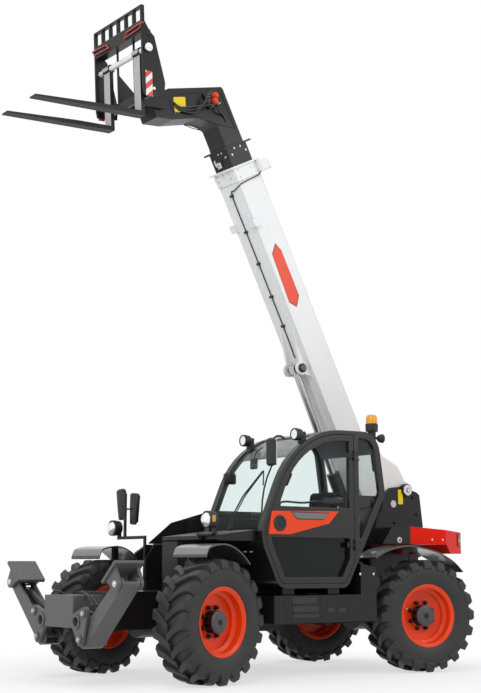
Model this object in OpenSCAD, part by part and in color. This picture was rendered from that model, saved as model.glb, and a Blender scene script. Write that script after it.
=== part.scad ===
// Telehandler with a two-stage telescopic boom, fork carriage and front stabilisers.
// X points forward, Y to the machine's left, Z up; ground at zero; lengths in millimetres.

/* [Running gear] */
// Distance between the two axles
wheelbase = 2850; // [2400:10:3200]
// Front axle position along X, set so that the whole part is centred on the origin
front_axle_x = 1096; // [800:5:1400]
// Distance between the wheel centre planes of one axle
track = 1900; // [1700:10:2100]
// Tyre diameter over the lugs
tyre_d = 1170; // [1000:10:1300]
// Tyre width over the shoulders
tyre_w = 400; // [300:10:500]
// Height of the lugs above the tyre crown
lug_h = 42; // [20:1:60]
// Rim diameter over the flanges
rim_d = 660; // [560:10:720]
// Rim width over the flanges
rim_w = 356; // [260:4:440]
// Wall thickness of the rim
rim_t = 14; // [8:1:24]
// Distance from the steering pin to the wheel centre plane
king_offset = 220; // [160:5:280]
// Steering pin diameter
king_d = 60; // [40:2:90]
// Steering angle shown, front wheels to the left and rear wheels to the right
steer_deg = 12; // [-30:1:30]
// Axle beam height and depth
axle_beam = 150; // [100:5:220]
// Diameter of the differential housing
diff_d = 360; // [260:10:460]
// Wheel hub diameter
hub_d = 220; // [160:5:280]
// Wheel spindle diameter
spindle_d = 130; // [90:5:160]

/* [Frame] */
// Frame width over the side plates
frame_w = 680; // [560:10:760]
// Bottom edge of the frame
frame_bottom_z = 500; // [400:10:600]
// Top edge of the frame
frame_top_z = 860; // [760:10:960]
// Thickness of the frame plates
frame_plate = 30; // [15:1:50]
// Reach of the frame ahead of the front axle
frame_front = 700; // [600:10:760]
// Reach of the frame behind the rear axle
frame_rear = 640; // [500:10:800]
// Half length of the arches over the axles
axle_arch = 150; // [110:5:220]
// Thickness of the boom tower plates
tower_plate = 35; // [20:1:60]
// Reach of the tower behind the rear axle
tower_l = 900; // [700:5:1000]
// Height of the tower above the frame
tower_h = 1160; // [900:10:1500]

/* [Boom] */
// Boom centre plane, right of the machine's middle
boom_y = -135; // [-200:5:0]
// Boom pivot behind the rear axle
pivot_back = 635; // [500:5:800]
// Boom pivot height
pivot_z = 1980; // [1700:10:2200]
// Boom angle shown above the horizontal
boom_deg = 62.6; // [0:0.2:70]
// Outer boom section width
boom_w = 350; // [260:5:420]
// Outer boom section height
boom_h = 335; // [260:5:420]
// Distance of the outer section's top below the pivot line
boom_drop = 281; // [200:1:340]
// Rear end of the outer section, ahead of the pivot
boom_start = 250; // [150:10:400]
// Front end of the outer section
boom_end = 4230; // [3600:10:4600]
// Plate thickness of the boom sections
boom_t = 10; // [6:1:16]
// Running gap between the boom sections
boom_gap = 6; // [5:0.5:12]
// Front collar depth
collar_l = 170; // [100:5:240]
// Front collar height above the section
collar_h = 14; // [6:1:30]
// Height of the end flange above the section
flange_h = 57; // [30:1:90]
// Thickness of the end flange
flange_t = 20; // [10:1:40]
// How far each inner section stands out of the next
section_step = 230; // [200:10:400]
// Pivot pin diameter
pivot_d = 90; // [60:2:120]
// Lift cylinder pin along the boom
lift_t = 1860; // [1500:10:2200]
// Lift cylinder pin below the boom's under face
lift_drop = 94; // [70:1:140]
// Lift cylinder foot behind the rear axle
lift_foot_back = 265; // [150:5:400]
// Lift cylinder foot height
lift_foot_z = 950; // [850:10:1100]
// Lift cylinder barrel diameter
lift_barrel_d = 150; // [110:5:180]
// Lift cylinder rod diameter
lift_rod_d = 84; // [60:2:100]
// Barrel length from the foot pin
lift_barrel_l = 1330; // [1200:10:1400]

/* [Carriage] */
// Carriage hinge along the boom
hinge_t = 5134; // [4800:10:5400]
// Carriage hinge below the pivot line
hinge_drop = 1213; // [1000:5:1400]
// Carriage hinge pin diameter
hinge_d = 60; // [40:2:80]
// Angle of the fork tines below the horizontal
fork_deg = 3; // [0:0.5:15]
// Carriage width
carriage_w = 960; // [800:10:1200]
// Rear face of the carriage frame ahead of its hinge
carriage_x = 300; // [200:5:400]
// Depth of the carriage side plates
carriage_d = 130; // [80:5:200]
// Top of the backrest above the hinge
backrest_top = 910; // [700:5:1200]
// Underside of the tines below the hinge
tine_drop = 240; // [100:5:300]
// Tine length ahead of the shank
tine_l = 1230; // [900:10:1500]
// Fork width
fork_w = 120; // [80:5:160]
// Fork thickness
fork_t = 46; // [30:1:60]
// Fork shaft above the hinge
shaft_up = 448; // [350:5:550]
// Fork shaft diameter
shaft_d = 62; // [40:2:80]
// Distance between the two forks
fork_spread = 600; // [400:10:800]

/* [Cab] */
// Foremost point of the cab behind the front axle
cab_back = 602; // [500:2:700]
// Cab length
cab_l = 1636; // [1400:2:1800]
// Cab height
cab_h = 1610; // [1400:5:1800]
// Cab underside height
cab_z = 885; // [800:5:1000]
// Left face of the cab
cab_y = 1050; // [950:5:1150]
// Cab width
cab_w = 980; // [850:5:1050]
// Thickness of the cab walls and door
cab_wall = 45; // [30:1:60]
// Width of the cab pillars
pillar_w = 75; // [50:1:110]
// Width of the cab edge around the door
door_band = 42; // [30:1:60]
// Gap around the door
door_gap = 6; // [5:0.5:10]
// Width of the door frame around its panes
door_rim = 62; // [40:1:90]
// Glass thickness
glass_t = 6; // [4:0.5:10]

/* [Stabilisers] */
// Stabiliser plates ahead of the front axle
stab_x = 775; // [740:5:900]
// Leg pivot off the middle
leg_y = 410; // [350:5:450]
// Leg pivot height
leg_z = 430; // [380:5:500]
// Pad pin off the middle
pad_y = 1020; // [900:5:1080]
// Pad pin height
pad_z = 945; // [850:5:1000]
// Leg depth at its root
leg_root = 168; // [120:5:240]
// Leg depth at its tip
leg_tip = 120; // [80:5:160]
// Leg width along X
leg_w = 190; // [90:5:180]
// Stabiliser pin diameter
stab_pin_d = 40; // [25:1:60]
// Stabiliser cylinder diameter
stab_barrel_d = 74; // [50:2:90]
// Stabiliser rod diameter
stab_rod_d = 40; // [25:1:60]
// Foot pad length
pad_l = 290; // [200:5:420]
// Tie-down ring bore
ring_d = 90; // [60:2:120]

/* [Bodywork] */
// Outer face of the engine pod
pod_y = 1090; // [1000:5:1140]
// Front end of the engine pod behind the front axle
pod_front = 730; // [700:5:900]
// Rear end of the engine pod ahead of the rear axle
pod_rear = 760; // [730:5:900]
// Underside of the engine pod
pod_z = 520; // [450:5:650]
// Height where the hood meets the pod
hood_z = 1200; // [1100:5:1300]
// Top of the hood at its rear end
hood_top_z = 1695; // [1500:5:1750]
// Thickness of the body panels
panel_t = 25; // [15:1:40]
// Step box underside
step_z = 545; // [450:5:650]
// Deck thickness ahead of the cab
deck_t = 110; // [80:5:160]
// Width of the mudguards
guard_w = 436; // [380:5:500]
// Mudguard plate thickness
guard_t = 12; // [6:1:20]

/* [Hidden] */
$fn = 48;
// Overrun of every cut
over = 20;
// Gap between curved faces that sit together
seat_gap = 0.3;
// Radial clearance of every turning or sliding pin
run_fit = 0.05;
// Side gap between moving plates
side_gap = 8;
rear_axle_x = front_axle_x - wheelbase;
axle_z = tyre_d / 2;
wheel_y = track / 2;
king_y = wheel_y - king_offset;
half = 0.5;

// Colours
black = [0.06, 0.06, 0.065];
dark = [0.12, 0.12, 0.125];
orange = [0.9, 0.22, 0.03];
white = [0.88, 0.88, 0.88];
steel = [0.7, 0.7, 0.7];
rubber = [0.05, 0.05, 0.05];
glass = [0.6, 0.75, 0.75, 0.35];
grey = [0.45, 0.45, 0.45];
amber = [0.95, 0.45, 0.05];
clear = [0.85, 0.87, 0.9];

// Outline given as shares of a size
function sized(shares, size) = [for (s = shares) [s[0] * size[0], s[1] * size[1]]];
// Outline moved by an offset
function moved(points, by) = [for (p = points) p + by];
function unit(a) = [cos(a), sin(a)];

// Side outline drawn in X and Z, given a width from y_from to the left
module along_y(y_from, width) {
    translate([0, y_from + width, 0])
        rotate([90, 0, 0])
            linear_extrude(width)
                children();
}

// Front outline drawn in Y and Z, given a length from x_from forward
module along_x(x_from, length) {
    translate([x_from, 0, 0])
        rotate([90, 0, 90])
            linear_extrude(length)
                children();
}

module block(low, high) {
    translate(low)
        cube(high - low);
}

module pin_y(x, y_from, z, width, d) {
    translate([x, y_from, z])
        rotate([-90, 0, 0])
            cylinder(h = width, d = d);
}

module pin_x(x_from, y, z, length, d) {
    translate([x_from, y, z])
        rotate([0, 90, 0])
            cylinder(h = length, d = d);
}

module pin_z(x, y, z_from, height, d) {
    translate([x, y, z_from])
        cylinder(h = height, d = d);
}

// Round bar from one point to another
module bar(p, q, d) {
    v = q - p;
    translate(p)
        rotate([0, acos(v[2] / norm(v)), atan2(v[1], v[0])])
            cylinder(h = norm(v), d = d);
}

// Angle of the outward normal of the straight between two circles of an outline
function normal_deg(a, b) =
    let (v = [b[0] - a[0], b[1] - a[1]])
    atan2(v[1], v[0]) - acos((a[2] - b[2]) / norm(v));
function wrap_after(a, start) = a < start ? wrap_after(a + full_turn, start) : a;
full_turn = 360;

// Outline rolled round a ring of circles, set in by an inset
arc_steps = 9;
function rolled(circles, inset) =
    let (n = len(circles))
    [for (i = [0 : n - 1])
        let (c = circles[i])
        let (a = normal_deg(circles[(i + n - 1) % n], c))
        let (b = wrap_after(normal_deg(c, circles[(i + 1) % n]), a))
        for (k = [0 : arc_steps])
            [c[0], c[1]] + (c[2] - inset) * unit(a + (b - a) * k / arc_steps)];

// Wheels
lug_root_d = tyre_d - 2 * lug_h;
// Carcass under the lugs: radius and place across, from the bead to the crown
carcass_shares = [[0.59, 0.465], [0.684, 0.4925], [0.769, 0.5], [0.838, 0.4925], [0.889, 0.465],
    [0.92, 0.4]];
bead_d = rim_d - 4 * rim_t;
well_d = bead_d - 5 * rim_t;
seat_shares = [0.45, 0.24, 0.18];

// Places a wheel: side is 1 on the left, the steering angle turns about the pin
module at_wheel(axle_x, side, steer) {
    translate([axle_x, side * king_y, axle_z])
        rotate([0, 0, steer])
            translate([0, side * king_offset, 0])
                rotate([-90 * side, 0, 0])
                    children();
}

// Each lug is two bars, the shoulder and the nose: shares of the radius round the tyre,
// and of its width across
lug_count = 20;
shoulder_shares = [[-0.13, 0.5], [0.055, 0.5], [0.108, 0.24], [-0.034, 0.24]];
nose_shares = [[-0.152, 0.262], [-0.012, 0.262], [0.13, -0.03], [0.032, -0.03]];
shoulder_deg = 2.1;
nose_deg = 8.9;
lug_foot_share = 0.84;

function reach(shares) = max([for (s = shares) abs(s[0])]);

// Bar of a lug, with its outer corners on the tyre's outside
module lug_bar(shares, hand, side) {
    r = tyre_d / 2;
    outline = sized(shares, [r * hand, tyre_w * side]);
    along_x(r * lug_foot_share, r * (sqrt(1 - reach(shares) ^ 2) - lug_foot_share))
        polygon(outline);
}

// hand is 1 on the left of the machine and -1 on the right
module tyre(hand) {
    half_seat = rim_w * seat_shares[0];
    crown = sized(carcass_shares, [tyre_d / 2, tyre_w]);
    far = [for (k = [len(crown) - 1 : -1 : 0]) [crown[k][0], -crown[k][1]]];
    bead_r = bead_d / 2 + seat_gap;
    pitch = full_turn / lug_count;
    color(rubber)
        union() {
            rotate_extrude($fn = 96)
                polygon(concat([[bead_r, -half_seat], [bead_r, half_seat]], crown,
                    [[lug_root_d / 2, tyre_w / 4], [lug_root_d / 2, -tyre_w / 4]], far));
            for (k = [0 : lug_count - 1])
                for (side = [-1, 1]) {
                    start = hand * pitch * (k + (side > 0 ? 0 : half)) - 90 * hand;
                    rotate([0, 0, start + hand * shoulder_deg])
                        lug_bar(shoulder_shares, hand, side);
                    rotate([0, 0, start + hand * nose_deg])
                        lug_bar(nose_shares, hand, side);
                }
        }
}

hub_shares = [-0.25, 0.36];
disc_share = 0.06;

module rim() {
    color(orange)
        difference() {
            rotate_extrude($fn = 96)
                polygon(rim_outline);
            translate([0, 0, hub_shares[0] * rim_w - over])
                cylinder(h = (hub_shares[1] - hub_shares[0]) * rim_w + over - 2 * rim_t,
                    d = spindle_d + 2 * run_fit);
        }
}

rim_half = rim_w / 2;
seat_w = rim_w * seat_shares[0];
rise_w = rim_w * seat_shares[1];
well_w = rim_w * seat_shares[2];
disc_w = rim_w * disc_share;
rim_outline = [[rim_d / 2, -rim_half], [bead_d / 2, -seat_w], [bead_d / 2, -rise_w], [well_d / 2, -well_w],
    [well_d / 2, well_w], [bead_d / 2, rise_w], [bead_d / 2, seat_w], [rim_d / 2, rim_half],
    [rim_d / 2 - rim_t, rim_half], [bead_d / 2 - rim_t, seat_w], [bead_d / 2 - rim_t, rise_w],
    [well_d / 2 - rim_t, well_w], [well_d / 2 - rim_t, disc_w + rim_t], [hub_d / 2, disc_w],
    [hub_d / 2, hub_shares[1] * rim_w], [0, hub_shares[1] * rim_w],
    [0, hub_shares[0] * rim_w], [hub_d / 2, hub_shares[0] * rim_w], [hub_d / 2, disc_w - rim_t],
    [well_d / 2 - rim_t, disc_w - rim_t], [well_d / 2 - rim_t, -well_w], [bead_d / 2 - rim_t, -rise_w],
    [bead_d / 2 - rim_t, -seat_w], [rim_d / 2 - rim_t, -rim_half]];

module rim_fl() at_wheel(front_axle_x, 1, steer_deg) rim();
module rim_fr() at_wheel(front_axle_x, -1, steer_deg) rim();
module rim_rl() at_wheel(rear_axle_x, 1, -steer_deg) rim();
module rim_rr() at_wheel(rear_axle_x, -1, -steer_deg) rim();
module tyre_fl() at_wheel(front_axle_x, 1, steer_deg) tyre(1);
module tyre_fr() at_wheel(front_axle_x, -1, steer_deg) tyre(-1);
module tyre_rl() at_wheel(rear_axle_x, 1, -steer_deg) tyre(1);
module tyre_rr() at_wheel(rear_axle_x, -1, -steer_deg) tyre(-1);

// Axles and steering knuckles
prong_z = 120;
prong_t = 34;
prong_d = 120;
yoke_in = 120;
spindle_end = hub_shares[1] * rim_w - 3 * rim_t;

module axle_side(side) {
    for (up = [-1, 1])
        translate([0, 0, up * (prong_z + prong_t / 2)])
            difference() {
                union() {
                    translate([0, side * (king_y - yoke_in / 2), 0])
                        cube([prong_d, yoke_in, prong_t], center = true);
                    translate([0, side * king_y, -prong_t / 2])
                        cylinder(h = prong_t, d = prong_d);
                }
                translate([0, side * king_y, -prong_t])
                    cylinder(h = 2 * prong_t, d = king_d + 2 * run_fit);
            }
    translate([0, side * (king_y - yoke_in), 0])
        cube([prong_d, prong_t, 2 * (prong_z + prong_t)], center = true);
}

module axle() {
    color(black)
        difference() {
            union() {
                cube([axle_beam, 2 * (king_y - yoke_in), axle_beam], center = true);
                rotate([0, 90, 0])
                    cylinder(h = diff_d, d = diff_d, center = true);
                axle_side(1);
                axle_side(-1);
            }
        }
}

module front_axle() translate([front_axle_x, 0, axle_z]) axle();
module rear_axle() translate([rear_axle_x, 0, axle_z]) axle();

// Curve through a row of points, with more points between them
curve_steps = 4;
function curve_at(a, b, c, d, t) =
    half * (2 * b + (c - a) * t + (2 * a - 5 * b + 4 * c - d) * t ^ 2 + (3 * b - a - 3 * c + d) * t ^ 3);
function curved(points) =
    let (n = len(points) - 1)
    concat([for (i = [0 : n - 1], k = [0 : curve_steps - 1])
        curve_at(points[max(i - 1, 0)], points[i], points[i + 1], points[min(i + 2, n)], k / curve_steps)],
        [points[n]]);

// Mudguard outline over the wheel, as shares of the tyre's radius
guard_front_shares = [[0.4, 1.03], [0.37, 1.12], [0.29, 1.2], [0, 1.246], [-0.2, 1.22], [-0.38, 1.15],
    [-0.55, 1.04], [-0.68, 0.92]];
guard_rear_shares = [[1.08, 1.04], [0.9, 1.14], [0.7, 1.21], [0.38, 1.26], [0.1, 1.225], [-0.23, 1.15],
    [-0.46, 1.05], [-0.62, 0.95], [-0.785, 0.79]];
stay_front_share = 1.234;
stay_rear_share = 1.196;
guard_in = 40;
stay_l = 70;
stay_w = 32;

module guard(side, shares, stay_share) {
    r = tyre_d / 2;
    outer = curved(sized(shares, [r, r]));
    inner = [for (k = [len(outer) - 1 : -1 : 0]) outer[k] * (1 - guard_t / r)];
    along_y(side > 0 ? -guard_in : guard_in - guard_w, guard_w)
        polygon(concat(outer, inner));
    block([-stay_l / 2, side > 0 ? -guard_in : guard_in - stay_w, prong_z + prong_t + side_gap],
        [stay_l / 2, side > 0 ? stay_w - guard_in : guard_in, r * stay_share]);
    translate([0, 0, prong_z])
        cylinder(h = prong_t + side_gap + stay_l, d = king_d);
}

module knuckle(side, shares, stay_share) {
    color(dark) {
        guard(side, shares, stay_share);
        translate([0, 0, -prong_z - prong_t])
            cylinder(h = 2 * (prong_z + prong_t), d = king_d);
        translate([0, 0, -prong_z + side_gap])
            cylinder(h = 2 * (prong_z - side_gap), d = prong_d);
        rotate([-90 * side, 0, 0])
            cylinder(h = king_offset + spindle_end, d = spindle_d);
    }
}

module at_king(axle_x, side, steer) {
    translate([axle_x, side * king_y, axle_z])
        rotate([0, 0, steer])
            children();
}

module knuckle_fl() at_king(front_axle_x, 1, steer_deg) knuckle(1, guard_front_shares, stay_front_share);
module knuckle_fr() at_king(front_axle_x, -1, steer_deg) knuckle(-1, guard_front_shares, stay_front_share);
module knuckle_rl() at_king(rear_axle_x, 1, -steer_deg) knuckle(1, guard_rear_shares, stay_rear_share);
module knuckle_rr() at_king(rear_axle_x, -1, -steer_deg) knuckle(-1, guard_rear_shares, stay_rear_share);

// Frame and tower
frame_front_x = front_axle_x + frame_front;
frame_rear_x = rear_axle_x - frame_rear;
tower_in = boom_w / 2 + side_gap;
tower_shares = [[-0.038, 0], [-0.087, 0.324], [-0.34, 0.934], [-0.434, 0.983], [-0.63, 1], [-0.896, 0.95],
    [-0.948, 0.922], [-1, 0.608], [-0.896, 0.264], [-0.751, 0]];
back_plate_shares = [0.3, 0.58];
pivot_x = rear_axle_x - pivot_back;
lift_foot_x = rear_axle_x - lift_foot_back;
cap_d = 150;
cap_t = 26;
deck_z = frame_top_z - frame_plate;

module frame_side(y_from) {
    difference() {
        block([frame_rear_x, y_from, frame_bottom_z], [frame_front_x, y_from + frame_plate, frame_top_z]);
        for (x = [front_axle_x, rear_axle_x])
            block([x - axle_arch, y_from - over, frame_bottom_z - over],
                [x + axle_arch, y_from + frame_plate + over, axle_z + axle_beam / 2]);
    }
}

hitch_d = 40;
hitch_r = 55;
hitch_gap = 60;

module chassis_frame() {
    color(black) {
        difference() {
            union() {
                frame_side(frame_w / 2 - frame_plate);
                frame_side(-frame_w / 2);
                // Cross plates
                for (x = [frame_rear_x, frame_front_x - frame_plate])
                    block([x, -frame_w / 2, frame_bottom_z], [x + frame_plate, frame_w / 2, frame_top_z]);
                // Deck
                block([frame_rear_x, -frame_w / 2 + frame_plate / 2, deck_z],
                    [frame_front_x, frame_w / 2 - frame_plate / 2, deck_z + frame_plate]);
                // Tow hitch
                for (z = [-1, 1])
                    translate([frame_rear_x, 0,
                        axle_z + z * (hitch_gap + frame_plate) / 2 - frame_plate / 2]) {
                        translate([-hitch_r * 2, 0, 0])
                            cylinder(h = frame_plate, r = hitch_r);
                        translate([-hitch_r * 2, -hitch_r, 0])
                            cube([hitch_r * 2, hitch_r * 2, frame_plate]);
                    }
            }
            pin_z(frame_rear_x - hitch_r * 2, 0, frame_bottom_z, frame_top_z - frame_bottom_z, hitch_d);
        }
    }
}

module boom_tower() {
    color(black) {
        for (y = [boom_y + tower_in, boom_y - tower_in - tower_plate])
            along_y(y, tower_plate)
                polygon(moved(sized(tower_shares, [tower_l, tower_h]), [rear_axle_x, frame_top_z]));
        // Back plate
        block([rear_axle_x - tower_l + frame_plate, boom_y - tower_in - tower_plate / 2,
                frame_top_z + tower_h * back_plate_shares[0]],
            [rear_axle_x - tower_l + 2 * frame_plate, boom_y + tower_in + tower_plate / 2,
                frame_top_z + tower_h * back_plate_shares[1]]);
        // Pivot caps
        pin_y(pivot_x, boom_y + tower_in, pivot_z, tower_plate + cap_t, cap_d);
        pin_y(pivot_x, boom_y - tower_in - tower_plate - cap_t, pivot_z, tower_plate + cap_t, cap_d);
        // Lift cylinder foot bosses
        pin_y(lift_foot_x, boom_y + tower_in, lift_foot_z, tower_plate, cap_d);
        pin_y(lift_foot_x, boom_y - tower_in - tower_plate, lift_foot_z, tower_plate, cap_d);
        // Boom pin and lift cylinder foot pin
        pin_y(pivot_x, boom_y - tower_in, pivot_z, 2 * tower_in, pivot_d);
        pin_y(lift_foot_x, boom_y - tower_in, lift_foot_z, 2 * tower_in, hinge_d);
    }
}

// Outriggers that carry the cab beside the frame
module cab_mounts() {
    color(black)
        for (x = [cab_mount_front, cab_mount_rear])
            block([x, frame_w / 2, cab_z - 2 * frame_plate], [x + axle_beam, cab_y - pillar_w, cab_z]);
}

drive_d = 90;
gearbox = [420, 380, 300];

module driveline() {
    color(dark) {
        pin_x(rear_axle_x + diff_d / 2, 0, axle_z, wheelbase - diff_d, drive_d);
        translate([(front_axle_x + rear_axle_x) / 2 - gearbox[0] / 2, -gearbox[1] / 2,
            axle_z - gearbox[2] / 2])
            cube(gearbox);
    }
}

// Cab
cab_front_x = front_axle_x - cab_back;
cab_rear_x = cab_front_x - cab_l;
cab_right_y = cab_y - cab_w;
mount_shares = [0.72, 0.36];
cab_mount_front = cab_rear_x + cab_l * mount_shares[0];
cab_mount_rear = cab_rear_x + cab_l * mount_shares[1];
// Circles of the cab's side outline: place along, height and radius
cab_shares = [[0.8148, 0.0901, 0.0901], [0.7842, 0.3261, 0.2193], [0.3625, 0.4224, 0.5745],
    [0.1791, 0.854, 0.146], [0.0935, 0.618, 0.095], [0.3686, 0.0714, 0.0714]];
cab_circles = [for (s = cab_shares) [cab_rear_x + s[0] * cab_l, cab_z + s[1] * cab_h, s[2] * cab_h]];
function cab_line(inset) = rolled(cab_circles, inset);
function in_cab(shares) = moved(sized(shares, [cab_l, cab_h]), [cab_rear_x, cab_z]);
screen_shares = [[0.5, 1.1], [1.1, 1.1], [1.1, 0.31], [0.8, 0.31]];
back_shares = [[-0.1, 0.88], [0.3, 0.88], [0.3, 0.5], [-0.1, 0.5]];
right_shares = [[-0.1, 1.1], [1.1, 1.1], [1.1, 0.31], [-0.1, 0.31]];
hinge_share = 0.262;
post_share = 0.04;
belt_share = 0.5;
sill_share = 0.31;
hinge_x = cab_rear_x + hinge_share * cab_l;
ahead_shares = [[0, 1.1], [1.1, 1.1], [1.1, -0.1], [0, -0.1]];
above_shares = [[-0.1, 1], [1.1, 1], [1.1, 0], [-0.1, 0]];

module ahead_of(x) {
    polygon(moved(sized(ahead_shares, [cab_l, cab_h]), [x, cab_z]));
}

module above(z) {
    polygon(moved(sized(above_shares, [cab_l, cab_h]), [cab_rear_x, z]));
}

hinge_out = 14;
barrel_d = 26;
barrel_h = 60;
lug_tall = 22;
hinge_pin_d = 12;
leaf_l = 70;
leaf_t = 9;
hinge_z_shares = [0.25, 0.82];

module hinge_lugs() {
    for (s = hinge_z_shares) {
        z = cab_z + s * cab_h;
        pin_z(hinge_x, cab_y + hinge_out, z - lug_tall, barrel_h + 2 * lug_tall, hinge_pin_d);
        for (low = [z - lug_tall, z + barrel_h]) {
            pin_z(hinge_x, cab_y + hinge_out, low, lug_tall - run_fit, barrel_d);
            block([hinge_x - leaf_l, cab_y, low], [hinge_x, cab_y + leaf_t, low + lug_tall - run_fit]);
        }
    }
}

module hinge_barrels() {
    for (s = hinge_z_shares) {
        z = cab_z + s * cab_h;
        difference() {
            union() {
                pin_z(hinge_x, cab_y + hinge_out, z, barrel_h - 2 * run_fit, barrel_d);
                block([hinge_x, cab_y - leaf_t, z],
                    [hinge_x + leaf_l, cab_y + leaf_t, z + barrel_h - 2 * run_fit]);
            }
            pin_z(hinge_x, cab_y + hinge_out, z - over, barrel_h + 2 * over, hinge_pin_d + 2 * run_fit);
            block([hinge_x - leaf_l, cab_y - over, z - over],
                [hinge_x + door_gap, cab_y, z + barrel_h + over]);
        }
    }
}

module cab_frame() {
    color(dark)
        hinge_lugs();
    color(dark)
        difference() {
            along_y(cab_right_y, cab_w)
                polygon(cab_line(0));
            along_y(cab_right_y + cab_wall, cab_w - 2 * cab_wall)
                polygon(cab_line(cab_wall));
            along_y(cab_right_y + pillar_w, cab_w - 2 * pillar_w)
                polygon(in_cab(screen_shares));
            along_y(cab_right_y + pillar_w, cab_w - 2 * pillar_w)
                polygon(in_cab(back_shares));
            // Right window
            along_y(cab_right_y - over, cab_wall + 2 * over)
                intersection() {
                    polygon(cab_line(pillar_w));
                    polygon(in_cab(right_shares));
                }
            // Door opening
            along_y(cab_y - cab_wall - over, cab_wall + 2 * over)
                intersection() {
                    polygon(cab_line(door_band));
                    ahead_of(hinge_x);
                }
            // Rear quarter window
            along_y(cab_y - cab_wall - over, cab_wall + 2 * over)
                difference() {
                    intersection() {
                        polygon(cab_line(pillar_w));
                        above(cab_z + cab_h * sill_share);
                    }
                    ahead_of(hinge_x - post_share * cab_l);
                }
        }
}

pane_lap = 15;
pane_inset = 14;

module sheet(region_shares) {
    along_y(cab_right_y + pillar_w + seat_gap, cab_w - 2 * pillar_w - 2 * seat_gap)
        intersection() {
            difference() {
                polygon(cab_line(pane_inset));
                polygon(cab_line(pane_inset + glass_t));
            }
            polygon(in_cab(region_shares));
        }
}

screen_pane_shares = [[0.505, 1.1], [1.1, 1.1], [1.1, 0.312], [0.8, 0.312]];
back_pane_shares = [[-0.1, 0.878], [0.3, 0.878], [0.3, 0.502], [-0.1, 0.502]];

module cab_glass() {
    color(glass) {
        sheet(screen_pane_shares);
        sheet(back_pane_shares);
        along_y(cab_right_y + cab_wall, glass_t)
            intersection() {
                polygon(cab_line(pillar_w - pane_lap));
                above(cab_z + cab_h * sill_share - pane_lap);
            }
        along_y(cab_y - cab_wall - glass_t, glass_t)
            difference() {
                intersection() {
                    polygon(cab_line(pillar_w - pane_lap));
                    above(cab_z + cab_h * sill_share - pane_lap);
                }
                ahead_of(hinge_x - post_share * cab_l + pane_lap);
            }
    }
}

door_inset = door_band + door_gap;

module door_frame() {
    color(dark)
        hinge_barrels();
    color(dark)
        along_y(cab_y - cab_wall, cab_wall)
            difference() {
                intersection() {
                    polygon(cab_line(door_inset));
                    ahead_of(hinge_x + door_gap);
                }
                intersection() {
                    polygon(cab_line(door_inset + door_rim));
                    ahead_of(hinge_x + door_gap + door_rim);
                    above(cab_z + cab_h * belt_share);
                }
                difference() {
                    intersection() {
                        polygon(cab_line(door_inset + door_rim));
                        ahead_of(hinge_x + door_gap + door_rim);
                    }
                    above(cab_z + cab_h * sill_share);
                }
            }
}

module door_glass() {
    color(glass)
        along_y(cab_y - cab_wall - glass_t, glass_t) {
            intersection() {
                polygon(cab_line(door_inset + door_rim - pane_lap));
                ahead_of(hinge_x + door_gap + door_rim - pane_lap);
                above(cab_z + cab_h * belt_share - pane_lap);
            }
            difference() {
                intersection() {
                    polygon(cab_line(door_inset + door_rim - pane_lap));
                    ahead_of(hinge_x + door_gap + door_rim - pane_lap);
                }
                above(cab_z + cab_h * sill_share + pane_lap);
            }
        }
}

panel_shares = [[0.4, 0.478], [0.478, 0.4], [0.79, 0.328], [0.955, 0.328], [0.93, 0.468]];
door_panel_t = 10;

module door_panel() {
    color(orange)
        along_y(cab_y, door_panel_t)
            polygon(in_cab(panel_shares));
}

// Cab interior
cab_mid_y = cab_y - cab_w / 2;
floor_z = cab_z + cab_wall;
console = [260, 420, 380];
column_d = 60;
steer_wheel_d = 360;
steer_rim_d = 28;
column_deg = 25;
column_l = 330;
console_share = 0.24;
console_x = cab_front_x - cab_l * console_share;
console_w = 150;
console_h = 480;
spoke_degs = [90, 210, 330];

module dashboard() {
    color(dark) {
        along_y(cab_mid_y - console[1] / 2, console[1])
            intersection() {
                polygon(cab_line(cab_wall + seat_gap));
                polygon([[console_x, floor_z], [console_x + console[0], floor_z],
                    [console_x + console[0], floor_z + console[2]], [console_x, floor_z + console[2]]]);
            }
        translate([console_x + console[0] / 4, cab_mid_y, floor_z + console[2] - column_d])
            rotate([0, -column_deg, 0]) {
                cylinder(h = column_l, d = column_d);
                translate([0, 0, column_l])
                    rotate_extrude()
                        translate([steer_wheel_d / 2, 0])
                            circle(d = steer_rim_d, $fn = 24);
                for (a = spoke_degs)
                    rotate([0, 0, a])
                        translate([0, 0, column_l])
                            rotate([0, 90, 0])
                                cylinder(h = steer_wheel_d / 2, d = steer_rim_d * half);
            }
        // Control console right of the seat
        along_y(cab_right_y + cab_wall + glass_t + seat_gap, console_w)
            intersection() {
                polygon(cab_line(cab_wall + seat_gap));
                polygon([[seat_x, floor_z], [seat_x + seat_l, floor_z],
                    [seat_x + seat_l, floor_z + console_h], [seat_x, floor_z + console_h]]);
            }
    }
}

seat_l = 500;
seat_w_y = 480;
seat_h = 110;
seat_base_h = 350;
seat_back_h = 620;
seat_back_deg = 10;
seat_share = 0.28;
seat_x = cab_rear_x + cab_l * seat_share;

module seat() {
    color(black) {
        block([seat_x + 2 * seat_h, cab_mid_y - seat_w_y / 3, floor_z],
            [seat_x + seat_l - seat_h, cab_mid_y + seat_w_y / 3, floor_z + seat_base_h]);
        block([seat_x, cab_mid_y - seat_w_y / 2, floor_z + seat_base_h],
            [seat_x + seat_l, cab_mid_y + seat_w_y / 2, floor_z + seat_base_h + seat_h]);
        translate([seat_x, cab_mid_y - seat_w_y / 2, floor_z + seat_base_h])
            rotate([0, -seat_back_deg, 0])
                cube([seat_h, seat_w_y, seat_back_h]);
    }
}

// Engine side
pod_front_x = front_axle_x - pod_front;
pod_rear_x = rear_axle_x + pod_rear;
pod_l = pod_front_x - pod_rear_x;
pod_in_y = -frame_w / 2;
engine = [760, 480, 620];

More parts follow.
